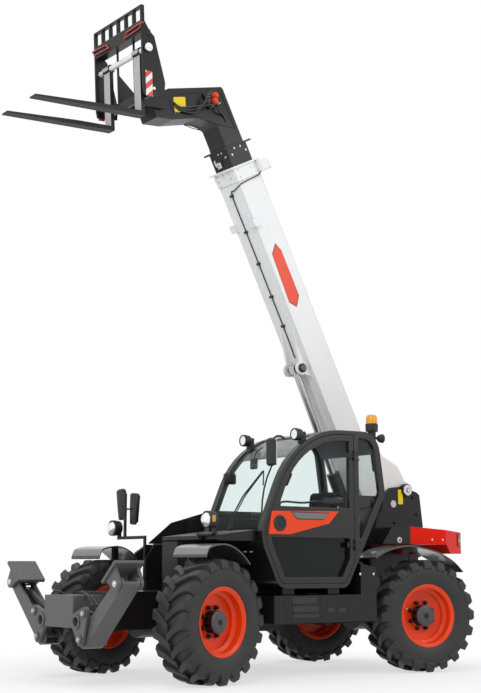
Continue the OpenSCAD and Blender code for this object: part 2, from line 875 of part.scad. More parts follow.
module engine_block() {
    color(grey)
        translate([(pod_front_x + pod_rear_x) / 2 - engine[0] / 2, (pod_in_y - pod_y) / 2 - engine[1] / 2,
            pod_z + 2 * panel_t])
            cube(engine);
}

hood_hinge_y = -frame_w / 2;
hood_hinge_drop = 40;
hood_hinge_z = hood_top_z - hood_hinge_drop;
hood_pin_d = 20;
hood_lug_d = 44;
hood_lug_w = 30;
hood_hinge_shares = [0.12, 0.62];
wall_t = 10;
skirt_y = 414;
skirt_t = 40;
skirt_l = 648;
skirt_h = 125;
skirt_shares = [[0, -1], [0, 1], [0.793, 1], [1, 0.3], [0.909, -0.32], [0.247, -0.4]];
nose_plate_shares = [[-0.05, -2], [-0.05, 1], [0.74, 1], [0.9, -0.2], [0.9, -2]];

module engine_pod() {
    color(black) {
        // Inner wall with the hood's hinge lugs
        block([pod_rear_x, pod_in_y - wall_t, hood_z - panel_t],
            [pod_front_x, pod_in_y + wall_t, hood_hinge_z - hood_lug_d]);
        for (s = hood_hinge_shares) {
            x = pod_rear_x + s * pod_l;
            along_x(x, hood_lug_w) {
                translate([hood_hinge_y, hood_hinge_z])
                    circle(d = hood_lug_d);
                polygon([[pod_in_y - wall_t, hood_hinge_z - hood_lug_d - over],
                    [pod_in_y + wall_t, hood_hinge_z - hood_lug_d - over],
                    [pod_in_y + wall_t, hood_hinge_z], [pod_in_y - wall_t, hood_hinge_z]]);
            }
            pin_x(x, hood_hinge_y, hood_hinge_z, 2 * hood_lug_w + side_gap, hood_pin_d);
        }
    }
    // Side plate ahead of the pod
    color(black)
        along_y(-skirt_y - skirt_t, skirt_t)
            polygon(moved(sized(skirt_shares, [skirt_l, skirt_h]), [pod_front_x, hood_z]));
    // Plate between the side plate and the frame
    color(black)
        along_y(pod_in_y - wall_t, 2 * wall_t)
            polygon(moved(sized(nose_plate_shares, [skirt_l, skirt_h]), [pod_front_x, hood_z]));
    color(black)
        block([pod_front_x, -skirt_y - wall_t, hood_z - wall_t],
            [pod_front_x + skirt_l * skirt_shares[2][0] * half, pod_in_y, hood_z]);
    color(black)
        difference() {
            block([pod_rear_x, -pod_y, pod_z], [pod_front_x, pod_in_y, hood_z]);
            block([pod_rear_x + panel_t, -pod_y + panel_t, pod_z + panel_t * 2],
                [pod_front_x - panel_t, pod_in_y - panel_t, hood_z + over]);
        }
}

arm_d = 34;
arm_out = 24;
hood_nose = 620;
hood_shares = [[0, 0], [1, 0], [1, 0.266], [1.36, 0.266], [1.36, 1], [0.04, 1], [0, 0.92]];
// Slope of the hood toward its nose, swept back on the outer side
sweep_deg = 33;
slope_shares = [[-3, 0.5], [-3, 1.1], [0.05, 1.1], [0.2, 1], [0.3, 0.989], [0.652, 0.918], [0.842, 0.806],
    [0.974, 0.73], [0.974, 0.5]];
hood_roof_t = 3 * panel_t;
slot_count = 6;
slot_h = 16;
slot_pitch = 42;
slot_in_share = 0.2;
hood_y = frame_w / 2 + hood_lug_d / 2 + side_gap;
nose_y = king_y - 2 * side_gap;
nose_in_y = frame_w / 2 + arm_out + arm_d + 2 * side_gap;

module under_slope(drop) {
    rotate([0, 0, -sweep_deg])
        along_y(-pod_l - pod_y, 2 * (pod_l + pod_y))
            polygon(moved(sized(slope_shares, [front_axle_x, hood_top_z]), [0, -drop]));
}

module engine_hood() {
    color(black)
        difference() {
            for (s = hood_hinge_shares)
                along_x(pod_rear_x + s * pod_l + hood_lug_w + side_gap / 2, hood_lug_w) {
                    translate([hood_hinge_y, hood_hinge_z])
                        circle(d = hood_lug_d);
                    polygon([[hood_hinge_y, hood_hinge_z - hood_lug_d / 2],
                        [hood_hinge_y, hood_hinge_z + hood_lug_d / 2],
                        [-hood_y - hood_lug_d, hood_hinge_z + hood_lug_d / 2],
                        [-hood_y - hood_lug_d, hood_hinge_z - hood_lug_d / 2]]);
                }
            pin_x(pod_rear_x, hood_hinge_y, hood_hinge_z, pod_l, hood_pin_d + 2 * run_fit);
        }
    color(black)
        difference() {
            intersection() {
                along_y(-pod_y, pod_y - hood_y)
                    polygon(moved(sized(hood_shares, [pod_l, hood_top_z - hood_z - side_gap]),
                        [pod_rear_x, hood_z + side_gap]));
                under_slope(0);
            }
            // Hollow under the hood
            intersection() {
                block([pod_rear_x + panel_t, -pod_y + panel_t, hood_z - over],
                    [pod_front_x - panel_t, -hood_y + over, hood_top_z - hood_roof_t]);
                under_slope(hood_roof_t);
            }
            // Air slots in the outer side
            for (k = [1 : slot_count])
                block([pod_rear_x + pod_l * slot_in_share, -pod_y - over, hood_z + k * slot_pitch - slot_h],
                    [pod_front_x - pod_l * slot_in_share, -pod_y + panel_t + over,
                        hood_z + k * slot_pitch]);
            // Room over the wheel
            block([pod_front_x, -pod_y - over, hood_z - over],
                [front_axle_x + hood_nose, -nose_y, hood_top_z + over]);
            // Room beside the lamp arm
            block([pod_front_x, -nose_in_y, hood_z - over],
                [front_axle_x + hood_nose, 0, hood_top_z + over]);
        }
}

// Side outline of the rear bodywork along its length and height
rear_shares = [[0, 0.333], [0, 1], [1, 0.828], [1, 0], [0.7, 0], [0.59, 0.333]];
// Plan of one side: length along, and width from the middle
rear_plan_shares = [[0, 1], [0.582, 1], [1, 0.842]];
rear_l = 926;
rear_top_z = 1525;
rear_h = 285;
rear_y = 950;
rear_ahead = 150;
rear_x = rear_axle_x + rear_ahead;
rear_base_z = rear_top_z - rear_h;

module rear_half(side, y_in) {
    intersection() {
        along_y(side > 0 ? y_in : -rear_y, rear_y - y_in)
            polygon([for (s = rear_shares) [rear_x - s[0] * rear_l, rear_base_z + s[1] * rear_h]]);
        translate([0, 0, rear_base_z - over])
            linear_extrude(rear_h + 2 * over)
                polygon(concat([for (s = rear_plan_shares) [rear_x - s[0] * rear_l, side * s[1] * rear_y]],
                    [[rear_x - rear_l, side * y_in], [rear_x, side * y_in]]));
    }
}

module rear_body() {
    color(orange) {
        rear_half(1, boom_y + tower_in + tower_plate);
        rear_half(-1, -boom_y + tower_in + tower_plate);
    }
}

// Side plates ahead of the rear bodywork
rear_plate_shares = [[0, 0], [0, 1], [-0.62, 0.953], [-1, 0]];
rear_plate_l = 384;
rear_plate_h = 190;

module rear_plates() {
    color(black)
        for (y = [rear_y - frame_plate, -rear_y])
            along_y(y, frame_plate)
                polygon([for (s = rear_plate_shares) [rear_x - s[0] * rear_plate_l,
                    rear_top_z - rear_plate_h + s[1] * rear_plate_h]]);
}

// Step box and tank under the cab
step_front = 760;
step_rear = 740;
step_h = cab_z - step_z;

module step_box() {
    color(dark)
        along_y(frame_w / 2, cab_y - frame_w / 2 - pane_lap)
            polygon(sized_step);
}

step_top_share = 0.8;
step_top_z = step_z + step_h * step_top_share;
tank_l = 215;
tank_z = 1130;
tank_low_z = 1090;
sized_step = [[rear_axle_x + step_rear, step_z], [front_axle_x - step_front, step_z],
    [front_axle_x - step_front, step_top_z], [rear_axle_x + step_rear + tank_l, step_top_z],
    [rear_axle_x + step_rear + tank_l, tank_z], [rear_axle_x + step_rear, tank_low_z]];

// Deck ahead of the cab
deck_front = 85;
deck_top_z = 1455;
deck_share = 0.6;
deck_low_z = deck_top_z - deck_t * deck_share;
deck_y = 970;
deck_shares = [[0, 1], [1, 0.45], [1, 0.1], [0.9, 0], [0, 0]];

module front_deck() {
    color(black) {
        along_y(cab_right_y, deck_y - cab_right_y)
            polygon([for (s = deck_shares) [cab_front_x + over
                + s[0] * (front_axle_x - deck_front - cab_front_x - over),
                deck_top_z - deck_t + s[1] * deck_t]]);
        block([cab_front_x + over, cab_right_y, frame_top_z],
            [front_axle_x - deck_front, frame_w / 2, deck_top_z - deck_t]);
    }
}

// Lamps, mirrors and beacon
lamp_d = 130;
lamp_l = 90;
lamp_plate = 12;
left_x = front_axle_x - deck_front + arm_d;
left_y = 1000;
left_z = 1540;
right_back = 166;
right_x = front_axle_x - right_back;
right_y = -905;
right_z = 1505;
arm_z = 1400;
left_post_y = 750;
right_post_y = -frame_w / 2 - arm_out - arm_d / 2;
stem_y = -772;
stem_top_z = 1870;
mirror_size = [44, 150, 330];
mirror_lean_deg = 5;
mirror_arm_d = 18;
mirror_shares = [[-0.33, -0.5], [0.33, -0.5], [0.5, 0.42], [0.4, 0.5], [-0.4, 0.5], [-0.5, 0.42]];
// Places of the two mirrors: beside the stem, and height
mirror_places = [[-128, 1757], [127, 1702]];
beacon_ahead = 60;
beacon_base_h = 44;
beacon_x = cab_rear_x + beacon_ahead;
beacon_y = 930;
beacon_up = 65;
beacon_z = cab_z + cab_h + beacon_up;
beacon_d = 130;
beacon_h = 130;
post_w = 60;
work_lamp_d = 110;
work_lamp_l = 70;
work_share = 0.66;
work_x = cab_rear_x + cab_l * work_share;
work_drop = 75;
work_z = cab_z + cab_h - work_drop;
work_y_shares = [0.06, 0.94];

module lamp_arm(x, post_y, post_z, lamp_y, lamp_z) {
    bar([x, post_y, post_z], [x, post_y, arm_z + arm_d / 2], arm_d);
    bar([x, post_y, arm_z], [x, lamp_y, arm_z], arm_d);
    block([x - arm_d / 2, lamp_y - arm_d, arm_z - arm_d / 2],
        [x - arm_d / 2 + lamp_plate, lamp_y + arm_d, lamp_z + arm_d]);
}

// Bracket between the cab's roof line and a height
module roof_post(x, y, top_z) {
    along_y(y - post_w / 2, post_w)
        difference() {
            polygon([[x - post_w / 2, top_z - cab_h / 3], [x + post_w / 2, top_z - cab_h / 3],
                [x + post_w / 2, top_z], [x - post_w / 2, top_z]]);
            polygon(cab_line(-seat_gap));
        }
}

module lamp_arms() {
    color(black) {
        lamp_arm(left_x, left_post_y, deck_low_z - arm_d, left_y, left_z);
        block([front_axle_x - deck_front, left_post_y - arm_d, deck_low_z - arm_d],
            [left_x, left_post_y + arm_d, deck_low_z + arm_d]);
        lamp_arm(right_x, right_post_y, frame_top_z - 4 * arm_d, right_y, right_z);
        block([right_x - arm_d, right_post_y, frame_top_z - 4 * arm_d],
            [right_x + arm_d, -frame_w / 2, frame_top_z - arm_d]);
        // Mirror stem
        bar([right_x, stem_y, arm_z], [right_x, stem_y, stem_top_z], arm_d);
        for (p = mirror_places)
            bar([right_x, stem_y, p[1]], [right_x, stem_y + p[0], p[1]], mirror_arm_d);
        // Beacon base
        roof_post(beacon_x, beacon_y, beacon_z - beacon_base_h);
        pin_z(beacon_x, beacon_y, beacon_z - beacon_base_h, beacon_base_h - seat_gap, beacon_d);
        // Work lamp brackets
        for (s = work_y_shares)
            roof_post(work_x, cab_right_y + s * cab_w, work_z + post_w / 2);
    }
}

module lamps() {
    color(clear) {
        pin_x(left_x - arm_d / 2 + lamp_plate, left_y, left_z, lamp_l, lamp_d);
        pin_x(right_x - arm_d / 2 + lamp_plate, right_y, right_z, lamp_l, lamp_d);
        for (s = work_y_shares)
            pin_x(work_x + post_w / 2, cab_right_y + s * cab_w, work_z, work_lamp_l, work_lamp_d);
    }
}

module mirrors() {
    color(black)
        for (p = mirror_places)
            translate([right_x - mirror_arm_d / 2 - seat_gap - mirror_size[0], stem_y + p[0], p[1]])
                rotate([-sign(p[0]) * mirror_lean_deg, 0, 0])
                    along_x(0, mirror_size[0])
                        polygon(sized(mirror_shares, [mirror_size[1], mirror_size[2]]));
}

module beacon() {
    color(amber)
        pin_z(beacon_x, beacon_y, beacon_z, beacon_h, beacon_d);
}

// Boom, drawn along X from its pivot and set at its angle
module at_boom() {
    translate([pivot_x, boom_y, pivot_z])
        rotate([0, -boom_deg, 0])
            children();
}

module section(x_from, x_to, inset) {
    difference() {
        block([x_from, -boom_w / 2 + inset, -boom_drop - boom_h + inset],
            [x_to, boom_w / 2 - inset, -boom_drop - inset]);
        block([x_from - over, -boom_w / 2 + inset + boom_t, -boom_drop - boom_h + inset + boom_t],
            [x_to + over, boom_w / 2 - inset - boom_t, -boom_drop - inset - boom_t]);
    }
}

// Flange round the end of a section
module flange(x_to, inset) {
    block([x_to - flange_t, -boom_w / 2 + inset - flange_h * half, -boom_drop - boom_h + inset - flange_h],
        [x_to, boom_w / 2 - inset + flange_h * half, -boom_drop - inset + flange_h]);
}

module collar(x_to, inset) {
    difference() {
        union() {
            block([x_to - collar_l, -boom_w / 2 + inset - collar_h, -boom_drop - boom_h + inset - collar_h],
                [x_to, boom_w / 2 - inset + collar_h, -boom_drop - inset + collar_h]);
            flange(x_to, inset);
        }
        block([x_to - collar_l - over, -boom_w / 2 + inset + boom_t, -boom_drop - boom_h + inset + boom_t],
            [x_to + over, boom_w / 2 - inset - boom_t, -boom_drop - inset - boom_t]);
    }
}

pad_fit = 0.3;
pad_share = 0.25;

// Wear pads on the inside of a collar, on all four faces
module wear_pads(x_to, inset) {
    y_in = boom_w / 2 - inset - boom_t;
    z_low = -boom_drop - boom_h + inset + boom_t;
    z_high = -boom_drop - inset - boom_t;
    z_mid = (z_low + z_high) / 2;
    lap = boom_t / 2;
    half_w = boom_w * pad_share;
    for (side = [-1, 1])
        block([x_to - collar_l, side > 0 ? y_in - boom_gap + pad_fit : -y_in - lap, z_mid - half_w],
            [x_to, side > 0 ? y_in + lap : -y_in + boom_gap - pad_fit, z_mid + half_w]);
    block([x_to - collar_l, -half_w, z_low - lap], [x_to, half_w, z_low + boom_gap - pad_fit]);
    block([x_to - collar_l, -half_w, z_high - boom_gap + pad_fit], [x_to, half_w, z_high + lap]);
}

ear_t = 30;
ear_l = 530;
ear_r = 112;
ear_shares = [[-0.18, -0.05], [-0.02, 0.13], [0.54, 0.08], [0.887, -0.154], [1.51, -0.457], [1, -0.457],
    [1, -1], [0.3, -1], [0.05, -0.6]];
lug_t = 30;
lug_r = 75;
lift_z = -boom_drop - boom_h - lift_drop;
lug_gap = 190;

module boom_outer() {
    color(white)
        at_boom() {
            difference() {
                union() {
                    section(boom_start, boom_end, 0);
                    collar(boom_end, 0);
                    wear_pads(boom_end, 0);
                    hose_guides();
                    for (side = [-1, 1])
                        along_y(side > 0 ? boom_w / 2 - ear_t : -boom_w / 2, ear_t) {
                            polygon(sized(ear_shares, [ear_l, boom_drop + boom_h]));
                            circle(r = ear_r);
                        }
                    pin_y(0, -boom_w / 2, 0, boom_w, 2 * ear_r - ear_t);
                    for (side = [-1, 1])
                        along_y(side > 0 ? lug_gap / 2 : -lug_gap / 2 - lug_t, lug_t)
                            difference() {
                                union() {
                                    translate([lift_t, lift_z])
                                        circle(r = lug_r);
                                    polygon([[lift_t - 2 * lug_r, -boom_drop - boom_h],
                                        [lift_t - lug_r * half, lift_z - lug_r * half],
                                        [lift_t + lug_r, lift_z],
                                            [lift_t + 6 * lug_r, -boom_drop - boom_h]]);
                                }
                            }
                }
                pin_y(0, -boom_w, 0, 2 * boom_w, pivot_d + 2 * run_fit);
                // Passage of the next section between the ears
                block([boom_start + section_step - over, -boom_w / 2 + boom_t,
                    -boom_drop - boom_h + boom_t],
                    [2 * ear_l, boom_w / 2 - boom_t, -boom_drop - boom_t]);
            }
        }
}

guide_from = 3530;
guide_l = 90;
guide_in = 40;
guide_out = 45;

// Hose guides round the lower corners of the outer section
module hose_guides() {
    for (side = [-1, 1])
        difference() {
            block([guide_from, side * boom_w / 2 - (side > 0 ? guide_in : guide_out),
                -boom_drop - boom_h - guide_out],
                [guide_from + guide_l, side * boom_w / 2 + (side > 0 ? guide_out : guide_in),
                    -boom_drop - boom_h + guide_in]);
            block([guide_from - over, -boom_w / 2 + boom_t / 2, -boom_drop - boom_h + boom_t / 2],
                [guide_from + guide_l + over, boom_w / 2 - boom_t / 2, 0]);
        }
}

inset_2 = boom_t + boom_gap;
inset_3 = 2 * inset_2;

module boom_middle() {
    color(dark)
        at_boom() {
            section(boom_start + section_step, boom_end + section_step, inset_2);
            difference() {
                flange(boom_end + section_step, inset_2);
                block([boom_end, -boom_w / 2 + inset_3 - boom_gap,
                    -boom_drop - boom_h + inset_3 - boom_gap],
                    [boom_end + section_step + over, boom_w / 2 - inset_3 + boom_gap,
                        -boom_drop - inset_3 + boom_gap]);
            }
            wear_pads(boom_end + section_step, inset_2);
        }
}

head_w = boom_w - 2 * inset_3;
head_start = boom_end + section_step + over;
head_shares = [[0, 0.478], [0.36, 0.478], [0.45, 0.52], [0.5, 0.56], [0.58, 0.64], [0.7, 0.93],
    [0.77, 1.02],
    [0.82, 1.09], [1.08, 1.09], [1.18, 1.0], [1.2, 0.85], [0.95, 0.27], [0.9, 0.258], [0, 0.258]];

module boom_inner() {
    color(dark)
        at_boom()
            difference() {
                union() {
                    section(boom_start + 2 * section_step, head_start + over, inset_3);
                    along_y(-head_w / 2, head_w)
                        polygon([for (s = head_shares) [head_start + s[0] * (hinge_t - head_start),
                            -s[1] * hinge_drop]]);
                }
                pin_y(hinge_t, -boom_w, -hinge_drop, 2 * boom_w, hinge_d + 2 * run_fit);
            }
}

// Lift cylinder
lift_pin = [pivot_x + lift_t * cos(boom_deg) - lift_z * sin(boom_deg),
    pivot_z + lift_t * sin(boom_deg) + lift_z * cos(boom_deg)];
lift_v = lift_pin - [lift_foot_x, lift_foot_z];
lift_deg = atan2(lift_v[1], lift_v[0]);
lift_l = norm(lift_v);
eye_w = 90;
eye_d = 112;

module at_lift() {
    translate([lift_foot_x, boom_y, lift_foot_z])
        rotate([0, -lift_deg, 0])
            children();
}

module lift_barrel() {
    color(dark)
        at_lift()
            difference() {
                union() {
                    rotate([0, 90, 0])
                        cylinder(h = lift_barrel_l, d = lift_barrel_d);
                    pin_y(0, -eye_w / 2, 0, eye_w, eye_d);
                }
                pin_y(0, -eye_w, 0, 2 * eye_w, hinge_d + 2 * run_fit);
                translate([lift_barrel_d, 0, 0])
                    rotate([0, 90, 0])
                        cylinder(h = lift_barrel_l, d = lift_rod_d + 2 * run_fit);
            }
}

module lift_rod() {
    color(steel)
        at_lift()
            difference() {
                union() {
                    translate([lift_rod_start, 0, 0])
                        rotate([0, 90, 0])
                            cylinder(h = lift_l - lift_rod_start, d = lift_rod_d);
                    pin_y(lift_l, -eye_w / 2, 0, eye_w, eye_d);
                }
                pin_y(lift_l, -eye_w, 0, 2 * eye_w, hinge_d);
            }
}

lift_rod_start = lift_barrel_l - 2 * over;

// Carriage and forks, drawn from the hinge with the tines along X
hinge_x_part = pivot_x + hinge_t * cos(boom_deg) + hinge_drop * sin(boom_deg);
hinge_z_part = pivot_z + hinge_t * sin(boom_deg) - hinge_drop * cos(boom_deg);

module at_carriage() {
    translate([hinge_x_part, boom_y, hinge_z_part])
        rotate([0, fork_deg, 0])
            children();
}

side_t = 22;
cross_h = 90;
cross_t = 36;
grid_t = 24;
grid_d = 40;
grid_bars = 7;
cross_up = 700;
ear_in = head_w / 2 + side_gap;
shank_x = carriage_x + carriage_d * half;
side_shares = [[-1, 0.02], [-0.3, 0], [0.9, 0], [1, 0.08], [1, 0.97], [0.75, 1], [0.2, 0.86],
    [-0.2, 0.8], [-1.1, 0.2]];
side_h = 800;
side_low = -50;

module carriage() {
    color(black)
        at_carriage() {
            difference() {
                union() {
                    // Side plates
                    for (side = [-1, 1])
                        along_y(side > 0 ? carriage_w / 2 - side_t : -carriage_w / 2, side_t)
                            polygon(moved(sized(side_shares, [carriage_d, side_h]), [carriage_x,
                                side_low]));
                    // Lower and upper cross bars
                    block([carriage_x, -carriage_w / 2, side_low],
                        [carriage_x + cross_t, carriage_w / 2, side_low + cross_h]);
                    block([carriage_x + carriage_d - cross_t, -carriage_w / 2, cross_up - cross_h / 2],
                        [carriage_x + carriage_d, carriage_w / 2, cross_up + cross_h / 2]);
                    // Fork shaft
                    pin_y(shank_x, -carriage_w / 2 - side_t, shaft_up, carriage_w + 2 * side_t, shaft_d);
                    // Backrest
                    for (k = [0 : grid_bars - 1])
                        block([carriage_x + carriage_d - grid_d,
                            -carriage_w / 2 + k * (carriage_w - grid_t) / (grid_bars - 1), cross_up],
                            [carriage_x + carriage_d,
                                -carriage_w / 2 + k * (carriage_w - grid_t) / (grid_bars - 1) + grid_t,
                                backrest_top]);
                    block([carriage_x + carriage_d - grid_d, -carriage_w / 2, backrest_top - grid_t],
                        [carriage_x + carriage_d, carriage_w / 2, backrest_top]);
                    // Middle uprights
                    for (side = [-1, 1])
                        along_y(side > 0 ? ear_in : -ear_in - side_t, side_t) {
                            polygon([[carriage_x + over, side_low], [carriage_x + cross_t, side_low],
                                [carriage_x + cross_t, cross_up], [carriage_x + over, cross_up]]);
                            polygon([[0, -hinge_d], [carriage_x + over, side_low],
                                [carriage_x + over, cross_up * half], [0, hinge_d]]);
                            circle(d = 2 * hinge_d);
                        }
                    block([carriage_x + over, -carriage_w / 2, cross_up - cross_h],
                        [carriage_x + carriage_d, carriage_w / 2, cross_up - cross_h / 2]);
                    // Hinge pin
                    pin_y(0, -ear_in - side_t, 0, 2 * (ear_in + side_t), hinge_d);
                }
            }
        }
}

fork_line = [[shank_x - fork_t / 2, -tine_drop], [shank_x + fork_t / 2 + tine_l, -tine_drop],
    [shank_x + fork_t / 2 + tine_l, -tine_drop + fork_t / 3],
        [shank_x + fork_t / 2 + tine_l / 3, -tine_drop + fork_t],
    [shank_x + fork_t / 2, -tine_drop + fork_t], [shank_x + fork_t / 2, shaft_up],
        [shank_x - fork_t / 2, shaft_up]];

module fork(y) {
    color(dark)
        at_carriage()
            translate([0, y, 0])
                difference() {
                    along_y(-fork_w / 2, fork_w) {
                        polygon(fork_line);
                        translate([shank_x, shaft_up])
                            circle(d = shaft_d * 3 / 2);
                    }
                    pin_y(shank_x, -fork_w, shaft_up, 2 * fork_w, shaft_d + 2 * run_fit);
                }
}

module fork_left() fork(fork_spread / 2);
module fork_right() fork(-fork_spread / 2);

// Stabilisers
stab_front_x = front_axle_x + stab_x;
plate_t = 32;
plate_r = 60;
ring_y = 340;
ring_z = 590;
beam_half = ring_y - ring_d / 2 - over;
cyl_y = 480;
cyl_z = 670;
eye_y = 911;
eye_z = 893;
leg_v = [pad_y - leg_y, pad_z - leg_z];
leg_deg = atan2(leg_v[1], leg_v[0]);
leg_l = norm(leg_v);
stab_l = 2 * plate_t + leg_w + 2 * side_gap;
// Circles that the bearing plates are rolled round
plate_circles = [[leg_y, leg_z, plate_r], [cyl_y, cyl_z, plate_r], [ring_y, ring_z, ring_d]];

module stabiliser_beam() {
    color(dark)
        difference() {
            union() {
                for (side = [-1, 1])
                    for (x = [stab_front_x, stab_front_x + stab_l - plate_t])
                        along_x(x, plate_t)
                            polygon([for (p = rolled(plate_circles, 0)) [side * p[0], p[1]]]);
                block([stab_front_x, -beam_half, frame_bottom_z + frame_plate],
                    [stab_front_x + stab_l, beam_half, frame_top_z - frame_plate]);
                block([frame_front_x, -beam_half, frame_bottom_z + frame_plate],
                    [stab_front_x, beam_half, frame_top_z - frame_plate]);
                for (side = [-1, 1])
                    pin_x(stab_front_x, side * ring_y, ring_z, stab_l, 2 * ring_d - plate_t);
                for (side = [-1, 1]) {
                    pin_x(stab_front_x, side * leg_y, leg_z, stab_l, stab_pin_d);
                    pin_x(stab_front_x, side * cyl_y, cyl_z, stab_l, stab_pin_d);
                }
            }
            for (side = [-1, 1])
                pin_x(stab_front_x - over, side * ring_y, ring_z, stab_l + 2 * over, ring_d);
        }
}

leg_x = stab_front_x + plate_t + side_gap;

// Leg drawn along Y from its pivot
module leg() {
    color(dark)
        difference() {
            union() {
                along_x(0, leg_w)
                    union() {
                        translate(eye_on_leg)
                            circle(d = stab_barrel_d);
                        polygon([[0, -leg_root / 2], [leg_l, -leg_tip / 2], [leg_l, leg_tip / 2],
                            [0, leg_root / 2]]);
                        circle(d = leg_root);
                        translate([leg_l, 0])
                            circle(d = leg_tip);
                    }
            }
            pin_x(-over, 0, 0, leg_w + 2 * over, stab_pin_d + 2 * run_fit);
            pin_x(-over, leg_l, 0, leg_w + 2 * over, stab_pin_d + 2 * run_fit);
            block([slot_in, -leg_root, leg_slot_z], [leg_w - slot_in, leg_l + leg_tip, leg_root]);
        }
}

eye_v = [eye_y - leg_y, eye_z - leg_z];
eye_on_leg = [eye_v[0] * cos(leg_deg) + eye_v[1] * sin(leg_deg),
    eye_v[1] * cos(leg_deg) - eye_v[0] * sin(leg_deg)];
slot_in = 24;
leg_slot_z = -20;

module at_leg(side) {
    translate([leg_x, side * leg_y, leg_z])
        mirror([0, side > 0 ? 0 : 1, 0])
            rotate([leg_deg, 0, 0])
                children();
}

module stab_leg_left() at_leg(1) leg();
module stab_leg_right() at_leg(-1) leg();

foot_shares = [[-0.5, 0], [0.5, 0], [0.75, 1.2], [-1, 1.2]];

module foot(side) {
    color(dark)
        translate([leg_x, side * pad_y, pad_z])
            mirror([0, side > 0 ? 0 : 1, 0])
                rotate([leg_deg, 0, 0]) {
                    for (x = [-side_gap - plate_t, leg_w + side_gap])
                        along_x(x, plate_t)
                            union() {
                                circle(d = leg_tip);
                                polygon(sized(foot_shares, [leg_tip, leg_tip]));
                            }
                    block([-side_gap - plate_t - over, -pad_l * half, leg_tip],
                        [leg_w + side_gap + plate_t + over, pad_l * half, leg_tip + plate_t]);
                    pin_x(-side_gap - plate_t, 0, 0, leg_w + 2 * side_gap + 2 * plate_t, stab_pin_d);
                }
}

module stab_foot_left() foot(1);
module stab_foot_right() foot(-1);

cyl_v = [eye_y - cyl_y, eye_z - cyl_z];
cyl_deg = atan2(cyl_v[1], cyl_v[0]);
cyl_l = norm(cyl_v);
barrel_share = 0.78;
cyl_barrel_l = cyl_l * barrel_share;
cyl_eye_w = 50;
cyl_x = leg_x + leg_w / 2;

module at_cyl(side) {
    translate([cyl_x, side * cyl_y, cyl_z])
        mirror([0, side > 0 ? 0 : 1, 0])
            rotate([cyl_deg, 0, 0])
                children();
}

module pin_along(y_from, y_to, d) {
    translate([0, y_from, 0])
        rotate([-90, 0, 0])
            cylinder(h = y_to - y_from, d = d);
}

module stab_barrel(side) {
    color(dark)
        at_cyl(side)
            difference() {
                union() {
                    pin_along(0, cyl_barrel_l, stab_barrel_d);
                    pin_x(-cyl_eye_w / 2, 0, 0, cyl_eye_w, stab_barrel_d);
                }
                pin_x(-cyl_eye_w, 0, 0, 2 * cyl_eye_w, stab_pin_d + 2 * run_fit);
                pin_along(stab_barrel_d, cyl_barrel_l + over, stab_rod_d + 2 * run_fit);
            }
}

module stab_rod(side) {
    color(steel)
        at_cyl(side)
            difference() {
                union() {
                    pin_along(stab_barrel_d + over, cyl_l, stab_rod_d);
                    pin_x(-cyl_eye_w / 2, cyl_l, 0, cyl_eye_w, stab_barrel_d);
                }
                pin_x(-cyl_eye_w, cyl_l, 0, 2 * cyl_eye_w, stab_pin_d);
            }
}

module stab_barrel_left() stab_barrel(1);
module stab_barrel_right() stab_barrel(-1);
module stab_rod_left() stab_rod(1);
module stab_rod_right() stab_rod(-1);

chassis_frame();
boom_tower();
cab_mounts();
front_axle();
rear_axle();
driveline();
stabiliser_beam();
cab_frame();
cab_glass();
dashboard();
seat();
engine_block();
engine_pod();
engine_hood();
rear_body();
rear_plates();
step_box();
front_deck();
lamp_arms();
lamps();
mirrors();
beacon();
door_frame();
door_glass();
door_panel();
knuckle_fl();
knuckle_fr();
knuckle_rl();
knuckle_rr();
rim_fl();
rim_fr();
rim_rl();
rim_rr();
tyre_fl();
tyre_fr();
tyre_rl();
tyre_rr();
boom_outer();
boom_middle();
boom_inner();
carriage();
fork_left();
fork_right();
lift_barrel();
lift_rod();
stab_leg_left();
stab_leg_right();
stab_foot_left();
stab_foot_right();
stab_barrel_left();
stab_barrel_right();
stab_rod_left();
stab_rod_right();
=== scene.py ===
from math import acos, atan2, copysign, cos, exp, hypot, pi, radians, sin, sqrt

import bmesh
import bpy
from mathutils import Matrix, Vector


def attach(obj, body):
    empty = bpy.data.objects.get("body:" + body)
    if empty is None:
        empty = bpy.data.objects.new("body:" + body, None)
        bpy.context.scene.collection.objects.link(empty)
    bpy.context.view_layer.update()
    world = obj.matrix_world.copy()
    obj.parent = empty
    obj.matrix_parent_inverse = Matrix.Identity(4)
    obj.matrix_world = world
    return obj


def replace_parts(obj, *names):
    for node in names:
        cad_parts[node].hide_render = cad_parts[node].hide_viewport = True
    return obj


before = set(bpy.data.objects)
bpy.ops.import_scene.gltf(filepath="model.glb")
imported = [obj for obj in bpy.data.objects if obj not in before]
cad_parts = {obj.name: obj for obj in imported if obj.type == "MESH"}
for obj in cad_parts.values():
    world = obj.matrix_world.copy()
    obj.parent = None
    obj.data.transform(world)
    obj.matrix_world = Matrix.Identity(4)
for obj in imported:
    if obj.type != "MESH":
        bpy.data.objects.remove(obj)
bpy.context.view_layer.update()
scene = bpy.context.scene
scene.view_settings.view_transform = "Standard"

# Main places of the machine, in metres
FRONT_AXLE = 1.096
REAR_AXLE = FRONT_AXLE - 2.85
AXLE_Z = 0.585
KING_Y = 0.73
KING_OUT = 0.22
STEER = radians(12)
GUARD_LOW = 1.12
BOOM_Y = -0.135
PIVOT = Vector((REAR_AXLE - 0.635, BOOM_Y, 1.98))
BOOM_ANGLE = radians(62.6)
BOOM_HALF, BOOM_LOW = 0.175, -0.616
COLLAR_HALF, SECOND_HALF, HEAD_HALF = 0.1895, 0.159, 0.143
FORK_ANGLE = radians(3)
CAB_REAR = FRONT_AXLE - 0.602 - 1.636
CAB_L, CAB_H, CAB_Z = 1.636, 1.61, 0.885
LEFT, AHEAD, UP = Vector((0, 1, 0)), Vector((1, 0, 0)), Vector((0, 0, 1))


def add_object(name, data):
    obj = bpy.data.objects.new(name, data)
    scene.collection.objects.link(obj)
    return obj


